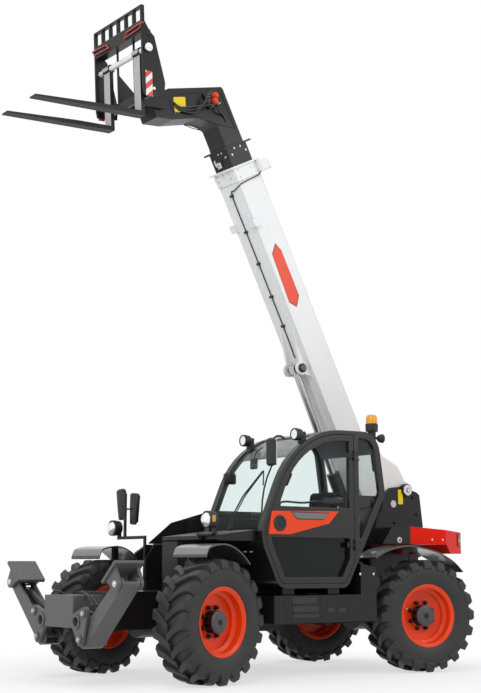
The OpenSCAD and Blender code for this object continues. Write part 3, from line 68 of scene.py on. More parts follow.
# Camera at the photograph's viewing angle
def add_camera():
    turn, tilt = radians(36.906), radians(9.6534)
    look = Vector((-sin(turn) * cos(tilt), -cos(turn) * cos(tilt), sin(tilt)))
    right = Vector((-cos(turn), sin(turn), 0))
    up = right.cross(look)
    data = bpy.data.cameras.new("camera")
    data.lens = 67.34
    data.sensor_width = 36
    data.clip_end = 200
    camera = add_object("camera", data)
    axes = Matrix((right, up, -look)).transposed().to_4x4()
    camera.matrix_world = Matrix.Translation((8.3205, 11.1177, 1.0943)) @ axes
    scene.camera = camera


add_camera()


# Node helpers
FLOAT, COLOUR, VECTOR = "NodeSocketFloat", "NodeSocketColor", "NodeSocketVector"
GEOMETRY, FINISH = "NodeSocketGeometry", "NodeSocketMaterial"


def new_group(name, inputs, outputs, kind="ShaderNodeTree"):
    """Tree with the sockets inside its input and output nodes."""
    tree = bpy.data.node_groups.new(name, kind)
    for label, socket_type, value in inputs:
        socket = tree.interface.new_socket(label, in_out="INPUT", socket_type=socket_type)
        if value is not None:
            socket.default_value = value
    for label, socket_type in outputs:
        tree.interface.new_socket(label, in_out="OUTPUT", socket_type=socket_type)
    return tree, tree.nodes.new("NodeGroupInput").outputs, tree.nodes.new("NodeGroupOutput").inputs


def node(tree, kind, links=None, **values):
    made = tree.nodes.new(kind)
    for key, value in values.items():
        setattr(made, key, value)
    for key, value in (links or {}).items():
        target = made.inputs[key]
        if hasattr(value, "is_output"):
            tree.links.new(value, target)
        else:
            target.default_value = value
    return made


def calc(tree, operation, first, second=0.5, clamp=False):
    return node(tree, "ShaderNodeMath", {0: first, 1: second}, operation=operation, use_clamp=clamp).outputs[0]


def noise(tree, place, scale, detail, rough=0.5):
    return node(tree, "ShaderNodeTexNoise", {"Vector": place, "Scale": scale, "Detail": detail,
                                             "Roughness": rough}).outputs["Fac"]


def ramp(tree, value, low, high, start=0, end=1, **values):
    return node(tree, "ShaderNodeMapRange", {"Value": value, "From Min": low, "From Max": high, "To Min": start,
                                             "To Max": end}, **values).outputs["Result"]


def object_place(tree):
    return node(tree, "ShaderNodeTexCoord").outputs["Object"]


# Slow change of tone and gloss over a painted or moulded surface, with a fine skin
def make_skin_group():
    tree, given, out = new_group(
        "skin_variation",
        [("Colour", COLOUR, (0.5, 0.5, 0.5, 1)), ("Tone Amount", FLOAT, 0.1), ("Tone Scale", FLOAT, 2),
         ("Roughness", FLOAT, 0.4), ("Roughness Amount", FLOAT, 0.1), ("Grain Scale", FLOAT, 300)],
        [("Colour", COLOUR), ("Roughness", FLOAT), ("Height", FLOAT)])
    place = object_place(tree)
    middle = calc(tree, "SUBTRACT", noise(tree, place, given["Tone Scale"], 5, 0.6), 0.5)
    bright = calc(tree, "ADD", calc(tree, "MULTIPLY", middle, given["Tone Amount"]), 1)
    toned = node(tree, "ShaderNodeVectorMath", {0: given["Colour"], "Scale": bright}, operation="SCALE")
    spread = calc(tree, "MULTIPLY", middle, given["Roughness Amount"])
    tree.links.new(toned.outputs["Vector"], out["Colour"])
    tree.links.new(calc(tree, "ADD", spread, given["Roughness"], True), out["Roughness"])
    tree.links.new(noise(tree, place, given["Grain Scale"], 2), out["Height"])
    return tree


# Mask of the plate edges where paint rubs thin
def make_edge_group():
    tree, given, out = new_group("plate_edges", [("Wear Scale", FLOAT, 14), ("Wear Amount", FLOAT, 0.5)],
                                 [("Mask", FLOAT)])
    soft = node(tree, "ShaderNodeBevel", {"Radius": 0.006}, samples=4).outputs["Normal"]
    flat = node(tree, "ShaderNodeNewGeometry").outputs["True Normal"]
    match = node(tree, "ShaderNodeVectorMath", {0: soft, 1: flat}, operation="DOT_PRODUCT").outputs["Value"]
    edge = ramp(tree, calc(tree, "SUBTRACT", 1, match), 0.08, 0.3)
    broken = ramp(tree, noise(tree, object_place(tree), given["Wear Scale"], 6, 0.7), 0.5, 0.7)
    both = calc(tree, "MULTIPLY", broken, edge)
    tree.links.new(calc(tree, "MULTIPLY", both, given["Wear Amount"], True), out["Mask"])
    return tree


# Thin dust that gathers low on the machine
def make_dust_group():
    tree, given, out = new_group("low_dust", [("Top", FLOAT, 1), ("Amount", FLOAT, 0.2), ("Scale", FLOAT, 6)],
                                 [("Mask", FLOAT)])
    place = object_place(tree)
    height = node(tree, "ShaderNodeSeparateXYZ", {0: place}).outputs["Z"]
    part = ramp(tree, noise(tree, place, given["Scale"], 8, 0.65), 0.35, 0.75)
    both = calc(tree, "MULTIPLY", ramp(tree, height, 0, given["Top"], 1, 0), part)
    tree.links.new(calc(tree, "MULTIPLY", both, given["Amount"], True), out["Mask"])
    return tree


SKIN, EDGES, DUST = make_skin_group(), make_edge_group(), make_dust_group()


def grouped(tree, group, **values):
    made = node(tree, "ShaderNodeGroup", node_tree=group)
    for key, value in values.items():
        made.inputs[key.replace("_", " ")].default_value = value
    return made.outputs


def mix_colour(tree, factor, first, second):
    """Mixes a socket or a plain colour with a second colour."""
    first = first if hasattr(first, "is_output") else (*first, 1)
    return node(tree, "ShaderNodeMix", {0: factor, 6: first, 7: (*second, 1)}, data_type="RGBA").outputs[2]


def new_material(name):
    material = bpy.data.materials.new(name)
    material.use_nodes = True
    return material, material.node_tree, material.node_tree.nodes["Principled BSDF"]


def finish(name, colour, rough, metal=0.0, coat=0.0, tone=0.12, tone_scale=2.5, rough_spread=0.12, grain=300.0,
           bump=0.02, wear=0.0, wear_colour=(0.25, 0.25, 0.25), dust=0.0, dust_colour=(0.3, 0.26, 0.21),
           soft_edge=0.006, specular=0.5):
    material, tree, shader = new_material(name)
    for label, value in (("Metallic", metal), ("Coat Weight", coat), ("Coat Roughness", 0.06),
                         ("Specular IOR Level", specular)):
        shader.inputs[label].default_value = value
    skin = grouped(tree, SKIN, Colour=(*colour, 1), Tone_Amount=tone, Tone_Scale=tone_scale, Roughness=rough,
                   Roughness_Amount=rough_spread, Grain_Scale=grain)
    colour = skin["Colour"]
    if wear:
        colour = mix_colour(tree, grouped(tree, EDGES, Wear_Amount=wear)["Mask"], colour, wear_colour)
    if dust:
        colour = mix_colour(tree, grouped(tree, DUST, Amount=dust)["Mask"], colour, dust_colour)
    tree.links.new(colour, shader.inputs["Base Color"])
    tree.links.new(skin["Roughness"], shader.inputs["Roughness"])
    relief = node(tree, "ShaderNodeBump", {"Strength": bump, "Distance": 0.002, "Height": skin["Height"]})
    if soft_edge:
        rounded = node(tree, "ShaderNodeBevel", {"Radius": soft_edge}, samples=4)
        tree.links.new(rounded.outputs["Normal"], relief.inputs["Normal"])
    tree.links.new(relief.outputs["Normal"], shader.inputs["Normal"])
    return material


BLACK = finish("black_paint", (0.008, 0.008, 0.0085), 0.34, coat=0.1, wear=0.25, dust=0.04, specular=0.22,
               soft_edge=0.01)
CAB_BLACK = finish("cab_paint", (0.01, 0.01, 0.0105), 0.3, coat=0.25, wear=0.15, specular=0.3, soft_edge=0.014)
GUARD_BLACK = finish("guard_plastic", (0.04, 0.04, 0.041), 0.32, coat=0.5, grain=900, bump=0.05, dust=0.03,
                     soft_edge=0.01)
# Lighter grey for the guards' upward faces is a painted sheen: the sky's reflection on their tops, set into the
# colour.
GUARD_TOP_PAINTED_SHEEN = finish("guard_top_painted_sheen", (0.19, 0.19, 0.192), 0.3, coat=0.5, grain=900, bump=0.05, soft_edge=0.01)
GREY_BLACK = finish("stabiliser_paint", (0.085, 0.085, 0.086), 0.42, coat=0.08, wear=0.4, dust=0.06, specular=0.35,
                    soft_edge=0.01)
FORK_BLACK = finish("fork_paint", (0.012, 0.012, 0.0125), 0.5, wear=0.5, specular=0.3)
WHITE = finish("boom_white", (0.8, 0.8, 0.8), 0.28, coat=0.15, tone=0.04, wear=0.15, wear_colour=(0.4, 0.4, 0.4))
ORANGE = finish("signal_orange", (0.82, 0.052, 0.002), 0.34, coat=0.1, tone=0.08, wear=0.15,
                wear_colour=(0.35, 0.06, 0.02), dust=0.03, specular=0.3)
REAR_PAINT = finish("rear_paint", (0.78, 0.012, 0.001), 0.34, tone=0.08, specular=0.1)
RUBBER = finish("tyre_rubber", (0.032, 0.032, 0.032), 0.5, tone=0.5, tone_scale=9, rough_spread=0.2, grain=900,
                bump=0.12, dust=0.08, dust_colour=(0.16, 0.155, 0.15), soft_edge=0, specular=0.25)
# Near-black rubber; the step box's two slots also take it, as painted shade in place of open slots.
SEAL_AND_PAINTED_SHADE = finish("seal_and_painted_shade", (0.01, 0.01, 0.01), 0.6, soft_edge=0, grain=700, bump=0.05)
PLASTIC = finish("moulded_plastic", (0.014, 0.014, 0.0145), 0.5, grain=1400, bump=0.12, specular=0.35)
# Grey plastic trim; the deck's slot marks also take it, as painted highlight and shade of open slots.
GREY_TRIM_AND_PAINTED_SLOT_LIGHT = finish("grey_trim_and_painted_slot_light", (0.16, 0.16, 0.165), 0.6, grain=1400, bump=0.12)
CLOTH = finish("seat_cloth", (0.022, 0.022, 0.024), 0.85, grain=2200, bump=0.35, soft_edge=0, specular=0.2)
IRON = finish("engine_iron", (0.16, 0.16, 0.155), 0.6, metal=0.3, grain=500, bump=0.2)
STEEL = finish("bare_steel", (0.82, 0.82, 0.81), 0.34, metal=0.3, tone=0.2, tone_scale=12, grain=700, bump=0.04)
WORN_STEEL = finish("worn_grey_steel", (0.42, 0.42, 0.42), 0.45, metal=0.2, tone=0.35, tone_scale=10, bump=0.06)
ZINC = finish("zinc_plate", (0.62, 0.62, 0.6), 0.35, metal=0.9, tone=0.2, soft_edge=0)
CHROME = finish("rod_chrome", (0.46, 0.46, 0.47), 0.12, metal=0.9, tone=0.06, rough_spread=0.05, soft_edge=0)
HOSE = finish("hose_rubber", (0.014, 0.014, 0.014), 0.5, soft_edge=0, grain=900, bump=0.1)
RED = finish("hazard_red", (0.42, 0.025, 0.015), 0.4, coat=0.1, soft_edge=0)
YELLOW = finish("plain_yellow", (0.85, 0.62, 0.0), 0.45, soft_edge=0)
PALE = finish("pale_plate", (0.62, 0.62, 0.62), 0.45, soft_edge=0)
DEEP_RED = finish("deep_red", (0.22, 0.012, 0.006), 0.4, soft_edge=0)
HUB_GREY = finish("hub_face", (0.04, 0.04, 0.041), 0.4, coat=0.2, wear=0.3)


def clear_finish(name, colour, rough, clear, ior=1.45):
    material = finish(name, colour, rough, tone=0.03, rough_spread=0.03, grain=40, bump=0.004, soft_edge=0)
    shader = material.node_tree.nodes["Principled BSDF"]
    shader.inputs["Transmission Weight"].default_value = clear
    shader.inputs["IOR"].default_value = ior
    return material


GLASS = clear_finish("tinted_glass", (0.86, 0.92, 0.91), 0.03, 1.0, 1.12)
# Near-black glass that lets little light through: painted shade standing in for the shaded inside of the cab.
GLASS_WITH_PAINTED_SHADE = clear_finish("glass_with_painted_shade", (0.006, 0.007, 0.007), 0.04, 0.12, 1.3)
LENS = finish("lamp_face", (0.86, 0.88, 0.9), 0.14, metal=0.8, tone=0.1, tone_scale=30, soft_edge=0)
AMBER = clear_finish("amber_lens", (1.0, 0.46, 0.03), 0.12, 0.45)
RED_LENS = clear_finish("red_lens", (0.6, 0.02, 0.015), 0.15, 0.3)
MIRROR = finish("mirror_face", (0.75, 0.77, 0.78), 0.04, metal=1.0, tone=0.02, rough_spread=0.02, soft_edge=0)


# Diagonal red and white bands across a small plate
def make_band_material(per_metre=7.5):
    material, tree, shader = new_material("hazard_bands")
    shader.inputs["Roughness"].default_value = 0.4
    split = node(tree, "ShaderNodeSeparateXYZ", {0: object_place(tree)}).outputs
    count = calc(tree, "MULTIPLY", calc(tree, "ADD", split["X"], split["Z"]), per_metre)
    band = calc(tree, "GREATER_THAN", calc(tree, "FRACT", count), 0.5)
    tree.links.new(mix_colour(tree, band, (0.82, 0.82, 0.82), (0.7, 0.05, 0.03)), shader.inputs["Base Color"])
    return material


BANDS = make_band_material()


# Mesh helpers
def shade(obj, angle=35):
    mesh = obj.data
    for face in mesh.polygons:
        face.use_smooth = True
    limit = radians(angle)
    work = bmesh.new()
    work.from_mesh(mesh)
    for edge in work.edges:
        edge.smooth = len(edge.link_faces) == 2 and edge.calc_face_angle(0) < limit
    work.to_mesh(mesh)
    work.free()


class Solid:
    """Collects points and faces of one piece."""

    def __init__(self):
        self.points, self.faces, self.marks = [], [], []

    def add(self, points, faces, mark=0):
        start = len(self.points)
        self.points += [Vector(p) for p in points]
        self.faces += [tuple(i + start for i in f) for f in faces]
        self.marks += [mark] * len(faces)
        return self

    def loft(self, rings, mark=0):
        """Skin over rings of points, closed at both ends."""
        count, last = len(rings[0]), len(rings) - 1
        faces = []
        for k in range(last):
            for i in range(count):
                j = (i + 1) % count
                faces.append((k * count + i, k * count + j, (k + 1) * count + j, (k + 1) * count + i))
        faces.append(tuple(range(count - 1, -1, -1)))
        faces.append(tuple(last * count + i for i in range(count)))
        return self.add([p for ring in rings for p in ring], faces, mark)

    def box(self, low, high, chamfer=0.004, mark=0, place=None):
        low, high = Vector(low), Vector(high)
        chamfer = min([chamfer] + [(high[k] - low[k]) * 0.45 for k in range(3)])
        rings = []
        for z, inset in ((low.z, chamfer), (low.z + chamfer, 0), (high.z - chamfer, 0), (high.z, chamfer)):
            a, b = low.x + inset, high.x - inset
            c, d = low.y + inset, high.y - inset
            k = chamfer if inset == 0 else chamfer * 0.5
            rings.append([Vector(p) for p in ((a + k, c, z), (b - k, c, z), (b, c + k, z), (b, d - k, z),
                                              (b - k, d, z), (a + k, d, z), (a, d - k, z), (a, c + k, z))])
        if place:
            rings = [[place @ p for p in ring] for ring in rings]
        return self.loft(rings, mark)

    def lathe(self, profile, place, steps=32, mark=0, closed=False):
        """Profile of radius and height turned about the place's Z."""
        count = len(profile)
        points, faces = [], []
        for k in range(steps):
            turn = 2 * pi * k / steps
            points += [place @ Vector((r * cos(turn), r * sin(turn), h)) for r, h in profile]
            n = (k + 1) % steps
            for i in range(count if closed else count - 1):
                j = (i + 1) % count
                faces.append((k * count + i, k * count + j, n * count + j, n * count + i))
        if not closed:
            faces += [tuple(k * count + i for k in range(steps)) for i in (0, count - 1) if profile[i][0] > 1e-6]
        return self.add(points, faces, mark)

    def plate(self, outline, place, low, high, chamfer=0.002, mark=0):
        """Outline in the place's X and Y, thick along its Z, with a small chamfer."""
        centre = Vector((sum(p[0] for p in outline) / len(outline), sum(p[1] for p in outline) / len(outline)))
        rings = []
        for z, inset in ((low, chamfer), (low + chamfer, 0), (high - chamfer, 0), (high, chamfer)):
            ring = []
            for p in outline:
                v = Vector(p) - centre
                size = v.length or 1
                q = centre + v * (1 - inset / size)
                ring.append(place @ Vector((q.x, q.y, z)))
            rings.append(ring)
        return self.loft(rings, mark)

    def tube(self, path, radius, sides=10, mark=0):
        points = [Vector(p) for p in path]
        rings = []
        side = None
        for k, p in enumerate(points):
            ahead = points[min(k + 1, len(points) - 1)] - points[max(k - 1, 0)]
            ahead.normalize()
            if side is None:
                side = ahead.orthogonal().normalized()
            side = (side - ahead * side.dot(ahead)).normalized()
            across = ahead.cross(side)
            rings.append([p + radius * (cos(2 * pi * i / sides) * side
                                        + sin(2 * pi * i / sides) * across) for i in range(sides)])
        return self.loft(rings, mark)

    def loop(self, corners, radius, sides, mark=0):
        """Straight bars from corner to corner."""
        for p, q in zip(corners, corners[1:] + corners[:1]):
            self.tube([p, q], radius, sides, mark)

    def build(self, name, materials, body="machine", angle=35):
        if not isinstance(materials, (list, tuple)):
            materials = [materials]
        mesh = bpy.data.meshes.new(name)
        mesh.from_pydata([tuple(p) for p in self.points], [], self.faces)
        for material in materials:
            mesh.materials.append(material)
        for face, mark in zip(mesh.polygons, self.marks):
            face.material_index = mark
        work = bmesh.new()
        work.from_mesh(mesh)
        bmesh.ops.remove_doubles(work, verts=work.verts, dist=1e-5)
        bmesh.ops.recalc_face_normals(work, faces=work.faces)
        work.to_mesh(mesh)
        work.free()
        obj = add_object(name, mesh)
        shade(obj, angle)
        if body:
            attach(obj, body)
        return obj


def smooth_path(points, per=8):
    """Points of a smooth curve through the given ones."""
    points = [Vector(p) for p in points]
    ends = [points[0] * 2 - points[1]] + points + [points[-1] * 2 - points[-2]]
    path = []
    for k in range(1, len(ends) - 2):
        a, b, c, d = ends[k - 1:k + 3]
        for i in range(per):
            t = i / per
            path.append(0.5 * (2 * b + (c - a) * t + (2 * a - 5 * b + 4 * c - d) * t * t
                               + (3 * b - a - 3 * c + d) * t ** 3))
    return path + [points[-1]]


def frame_at(origin, z_axis, x_axis=None):
    """Matrix with its Z along z_axis and its X as near x_axis as it can be."""
    z = Vector(z_axis).normalized()
    x = Vector(x_axis) if x_axis is not None else z.orthogonal()
    x = (x - z * x.dot(z)).normalized()
    y = z.cross(x)
    return Matrix.Translation(Vector(origin)) @ Matrix((x, y, z)).transposed().to_4x4()


# What repeats is set on points by Geometry Nodes
def baked(obj, name):
    """Mesh of an object with its modifiers applied."""
    bpy.context.view_layer.update()
    mesh = bpy.data.meshes.new_from_object(obj.evaluated_get(bpy.context.evaluated_depsgraph_get()))
    mesh.name = name
    return mesh


def sow(tree, points, piece, turn, material, end):
    """Sets a piece on points, makes the copies real and gives them a finish."""
    sown = node(tree, "GeometryNodeInstanceOnPoints", {"Points": points, "Instance": piece, "Rotation": turn})
    real = node(tree, "GeometryNodeRealizeInstances", {0: sown.outputs["Instances"]})
    dressed = node(tree, "GeometryNodeSetMaterial", {"Geometry": real.outputs[0], "Material": material})
    tree.links.new(dressed.outputs["Geometry"], end)


def make_bolt_tree():
    tree, given, out = new_group(
        "bolt_heads",
        [("Places", GEOMETRY, None), ("Across", FLOAT, 0.024), ("Height", FLOAT, 0.012), ("Washer", FLOAT, 0.034),
         ("Washer Thickness", FLOAT, 0.003), ("Finish", FINISH, None)],
        [("Bolts", GEOMETRY)], "GeometryNodeTree")

    def half(value):
        return calc(tree, "MULTIPLY", value, 0.5)

    def cone(sides, top, bottom, depth):
        return node(tree, "GeometryNodeMeshCone", {"Vertices": sides, "Radius Top": top, "Radius Bottom": bottom,
                                                   "Depth": depth}).outputs["Mesh"]

    wide, washer, tall = half(given["Across"]), half(given["Washer"]), given["Height"]
    lift = node(tree, "ShaderNodeCombineXYZ", {2: tall}).outputs[0]
    crown = cone(12, half(wide), wide, half(half(tall)))
    capped = node(tree, "GeometryNodeTransform", {"Geometry": crown, "Translation": lift}).outputs["Geometry"]
    whole = node(tree, "GeometryNodeJoinGeometry")
    for made in (capped, cone(16, washer, washer, given["Washer Thickness"]), cone(6, wide, wide, tall)):
        tree.links.new(made, whole.inputs[0])
    way = node(tree, "GeometryNodeInputNamedAttribute", {"Name": "out"}, data_type="FLOAT_VECTOR")
    turn = node(tree, "FunctionNodeAlignRotationToVector", {"Vector": way.outputs["Attribute"]}, axis="Z")
    sow(tree, given["Places"], whole.outputs[0], turn.outputs["Rotation"], given["Finish"], out["Bolts"])
    return tree


def make_louvre_tree():
    tree, given, out = new_group(
        "louvre_row",
        [("Count", "NodeSocketInt", 10), ("Pitch", FLOAT, 0.04), ("Size", VECTOR, (0.3, 0.02, 0.012)),
         ("Tilt", FLOAT, 0.5), ("Finish", FINISH, None)],
        [("Louvres", GEOMETRY)], "GeometryNodeTree")
    step = node(tree, "ShaderNodeCombineXYZ", {2: given["Pitch"]}).outputs[0]
    row = node(tree, "GeometryNodeMeshLine", {"Count": given["Count"], "Offset": step}).outputs["Mesh"]
    slat = node(tree, "GeometryNodeMeshCube", {"Size": given["Size"]}).outputs["Mesh"]
    turn = node(tree, "ShaderNodeCombineXYZ", {0: given["Tilt"]}).outputs[0]
    sow(tree, row, slat, turn, given["Finish"], out["Louvres"])
    return tree


BOLT_TREE, LOUVRE_TREE = make_bolt_tree(), make_louvre_tree()


def made_by_nodes(name, mesh, tree, values, body, place=None):
    """Piece that a tree makes from a mesh, with the tree's inputs given by name."""
    maker = add_object(name + "_maker", mesh)
    modifier = maker.modifiers.new("maker", "NODES")
    modifier.node_group = tree
    for item in tree.interface.items_tree:
        if item.in_out == "INPUT" and item.name in values:
            modifier[item.identifier] = values[item.name]
    made = baked(maker, name)
    bpy.data.objects.remove(maker)
    if place:
        made.transform(place)
    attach(add_object(name, made), body)


def bolts(name, places, body, material, across=0.024, height=0.012, washer=None, washer_t=0.003):
    """Places are pairs of a point and the direction that its bolt stands out."""
    mesh = bpy.data.meshes.new(name + "_places")
    mesh.from_pydata([tuple(p) for p, _ in places], [], [])
    ways = mesh.attributes.new("out", "FLOAT_VECTOR", "POINT")
    for k, (_, way) in enumerate(places):
        ways.data[k].vector = Vector(way).normalized()
    made_by_nodes(name, mesh, BOLT_TREE, {"Across": across, "Height": height, "Washer": washer or across * 1.45,
                                          "Washer Thickness": washer_t, "Finish": material}, body)


# CAD nodes keep their shape and get finishes
def dress(name, material, parts=()):
    """One finish over a node, then others where a test of face centre and normal holds."""
    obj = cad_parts[name]
    obj.data.materials.clear()
    obj.data.materials.append(material)
    for face in obj.data.polygons:
        face.material_index = 0
    for k, (other, test) in enumerate(parts):
        obj.data.materials.append(other)
        for face in obj.data.polygons:
            if test(face.center, face.normal):
                face.material_index = k + 1


def wheel_place(key):
    front, left = key[0] == "f", key[1] == "l"
    x, side = (FRONT_AXLE if front else REAR_AXLE), (1 if left else -1)
    steer = STEER if front else -STEER
    out = Vector((-sin(steer), cos(steer), 0)) * side
    ahead = Vector((cos(steer), sin(steer), 0))
    centre = Vector((x, side * KING_Y, AXLE_Z)) + out * KING_OUT
    return centre, out, ahead


WHEELS = ("fl", "fr", "rl", "rr")
BOOM_OUT = Vector((cos(BOOM_ANGLE), 0, sin(BOOM_ANGLE)))
BOOM_UP = Vector((-sin(BOOM_ANGLE), 0, cos(BOOM_ANGLE)))


def on_boom(along, left, up):
    """Point given along the boom from its pivot, left of its middle and above its pivot line."""
    return PIVOT + BOOM_OUT * along + LEFT * left + BOOM_UP * up


HEAD_PIN = (5.134, -1.213)
CARRIAGE_HINGE = on_boom(HEAD_PIN[0], 0, HEAD_PIN[1])
FORK_SHAFT = (0.365, 0, 0.448)
FORK_OUT = Vector((cos(FORK_ANGLE), 0, -sin(FORK_ANGLE)))
FORK_UP = Vector((sin(FORK_ANGLE), 0, cos(FORK_ANGLE)))


def on_carriage(ahead, left, up):
    return CARRIAGE_HINGE + FORK_OUT * ahead + LEFT * left + FORK_UP * up


def near_axis(point, centre, axis):
    v = point - centre
    return (v - axis * v.dot(axis)).length


for cad_finish, cad_names in (
        (BLACK, "chassis_frame boom_tower cab_mounts rear_plates front_axle rear_axle driveline engine_pod"),
        (BLACK, "engine_hood step_box front_deck lamp_arms boom_middle boom_inner"),
        (BLACK, "lift_barrel stab_barrel_left stab_barrel_right"),
        (GREY_BLACK, "stabiliser_beam stab_leg_left stab_leg_right stab_foot_left stab_foot_right"),
        (CAB_BLACK, "cab_frame door_frame"), (PLASTIC, "dashboard mirrors"), (GLASS, "cab_glass"), (CLOTH, "seat"),
        (IRON, "engine_block"), (AMBER, "beacon"), (ORANGE, "door_panel"), (WHITE, "boom_outer"),
        (CHROME, "lift_rod stab_rod_left stab_rod_right"), (RUBBER, "tyre_fl tyre_fr tyre_rl tyre_rr")):
    for cad_name in cad_names.split():
        dress(cad_name, cad_finish)
for wheel in WHEELS:
    # Upward faces of the guards get the lighter grey of the painted sheen.
    dress("knuckle_" + wheel, BLACK, [(GUARD_BLACK, lambda p, n: p.z > GUARD_LOW),
                                      (GUARD_TOP_PAINTED_SHEEN, lambda p, n: p.z > GUARD_LOW and n.z > 0.3)])
for cad_name in ("fork_left", "fork_right"):
    dress(cad_name, FORK_BLACK, [(WORN_STEEL, lambda p, n: n.dot(FORK_OUT) > 0.9
                                  and (p - CARRIAGE_HINGE).dot(FORK_UP) > -0.17)])
dress("carriage", BLACK, [(STEEL, lambda p, n: near_axis(p, on_carriage(*FORK_SHAFT), LEFT) < 0.0315
                           and (p - CARRIAGE_HINGE).dot(FORK_UP) > 0.3)])
# The door glass below 1.4 m gets the near-black glass, as painted shade of the cab's inside.
dress("door_glass", GLASS, [(GLASS_WITH_PAINTED_SHADE, lambda p, n: p.z < 1.4)])
dress("lamps", LENS, [(PLASTIC, lambda p, n: n.x < 0.5)])
dress("rear_body", REAR_PAINT, [(BLACK, lambda p, n: n.x > 0.7)])


# Tyres with two rows of bent lugs
LUGS = 20
LUG_ROOT, LUG_FLARE, LUG_EDGE = 0.515, 0.01, 0.006
# Left of the tyre's middle, radius, turn and half width, from a lug's outer end inwards
LUG_LINE = [(0.208, 0.5, 0.0, 0.05), (0.204, 0.548, 0.0, 0.046), (0.186, 0.578, 0.01, 0.041),
            (0.15, 0.585, 0.035, 0.037), (0.1, 0.585, 0.075, 0.035), (0.04, 0.585, 0.155, 0.034),
            (-0.012, 0.585, 0.235, 0.03)]
# Radius and half width, from the bead to the crown
CARCASS = [(0.305, 0.15), (0.322, 0.172), (0.345, 0.186), (0.4, 0.197), (0.45, 0.2), (0.49, 0.197), (0.52, 0.186),
           (0.538, 0.16), (0.543, 0.1), (0.545, 0.0)]


def tyre(key):
    centre, out, ahead = wheel_place(key)

    def at(u, r, turn):
        return centre + out * u + r * (UP * cos(turn) + ahead * sin(turn))

    ribs = CARCASS + [(r, -u) for r, u in reversed(CARCASS[:-1])]
    solid = Solid().lathe(ribs, frame_at(centre, out, UP), 120, closed=True)
    pitch = 2 * pi / LUGS
    for side in (1, -1):
        for k in range(LUGS):
            start = pitch * (k + (0.5 if side < 0 else 0))
            rings = []
            for i, (u, r, lag, wide) in enumerate(LUG_LINE):
                base = LUG_ROOT if i > 1 else r - 0.04
                deep = u - 0.03 if i == 0 else u - 0.02 if i == 1 else u
                edge = r - LUG_EDGE
                half = [(deep, base, (wide + LUG_FLARE) / base), (u, edge, (wide + 0.002) / edge),
                        (u, r, (wide - 0.005) / r)]
                section = [(a, b, -c) for a, b, c in half] + half[::-1]
                rings.append([at(side * a, b, start + lag + c) for a, b, c in section])
            solid.loft(rings)
    made = solid.build("tyre_" + key + "_lugged", RUBBER, "wheel_" + key, angle=30)
    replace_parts(made, "tyre_" + key)


for wheel in WHEELS:
    tyre(wheel)
    c, a, _ = wheel_place(wheel)
    dress("rim_" + wheel, ORANGE, [
        (BLACK, lambda p, n: near_axis(p, c, a) < 0.1115 and (p - c).dot(a) > 0.03),
        (HUB_GREY, lambda p, n: near_axis(p, c, a) < 0.112 and (p - c).dot(a) > 0.125 and n.dot(a) > 0.9),
        (BLACK, lambda p, n: near_axis(p, c, a) < 0.14 and (p - c).dot(a) < 0.0)])
    spokes = [Matrix.Rotation(2 * pi * (k + 0.5) / 8, 3, a) @ a.orthogonal().normalized() for k in range(8)]
    bolts("wheel_nuts_" + wheel, [(c + spoke * 0.142 + a * 0.031, a) for spoke in spokes], "wheel_" + wheel, BLACK,
          across=0.034, height=0.034, washer=0.044, washer_t=0.008)


# Shared small shapes
def disc(solid, centre, axis, radius, height, mark=0, steps=28):
    edge = min(0.003, height * 0.45, radius * 0.45)
    solid.lathe([(0, 0), (radius, 0), (radius, height - edge), (radius - edge, height), (0, height)],
                frame_at(centre, axis), steps, mark)


def stack(solid, centre, axis, *steps, sides=28):
    """Discs of radius, height and mark, each set on the one before."""
    for radius, height, mark in steps:
        disc(solid, centre, axis, radius, height, mark, sides)
        centre = Vector(centre) + Vector(axis) * height


def rect(x0, y0, x1, y1):
    return [(x0, y0), (x1, y0), (x1, y1), (x0, y1)]


def left_face(y):
    """Place on a face that looks left, with its X ahead and its Y down."""
    return frame_at((0, y, 0), LEFT, AHEAD)


def ring(solid, centre, axis, inner, outer, height, mark=0, steps=36):
    edge = min(0.003, height * 0.4)
    solid.lathe([(inner, 0), (outer, 0), (outer, height - edge), (outer - edge, height), (inner + edge, height),
                 (inner, height - edge)], frame_at(centre, axis), steps, mark, closed=True)


def hose_piece(name, paths, radius, body):
    solid = Solid()
    for path in paths:
        solid.tube(smooth_path(path), radius)
    solid.build(name, HOSE, body, angle=60)


# Outline of the cab's side, as in its construction
CAB_CIRCLES = [(0.8148, 0.0901, 0.0901), (0.7842, 0.3261, 0.2193), (0.3625, 0.4224, 0.5745), (0.1791, 0.854, 0.146),
               (0.0935, 0.618, 0.095), (0.3686, 0.0714, 0.0714)]


def cab_line(inset, steps=12):
    circles = [(CAB_REAR + a * CAB_L, CAB_Z + b * CAB_H, c * CAB_H) for a, b, c in CAB_CIRCLES]

    def normal(a, b):
        v = (b[0] - a[0], b[1] - a[1])
        return atan2(v[1], v[0]) - acos((a[2] - b[2]) / hypot(*v))

    line = []
    for i, c in enumerate(circles):
        start, end = normal(circles[i - 1], c), normal(c, circles[(i + 1) % len(circles)])
        while end < start:
            end += 2 * pi
        for k in range(steps + 1):
            turn = start + (end - start) * k / steps
            line.append((c[0] + (c[2] - inset) * cos(turn), c[1] + (c[2] - inset) * sin(turn)))
    return line


def screen_x(z, out=0.0):
    """Front face of the cab at a height on its upper screen."""
    return -0.549 + sqrt((0.925 + out) ** 2 - (z - 1.565) ** 2)


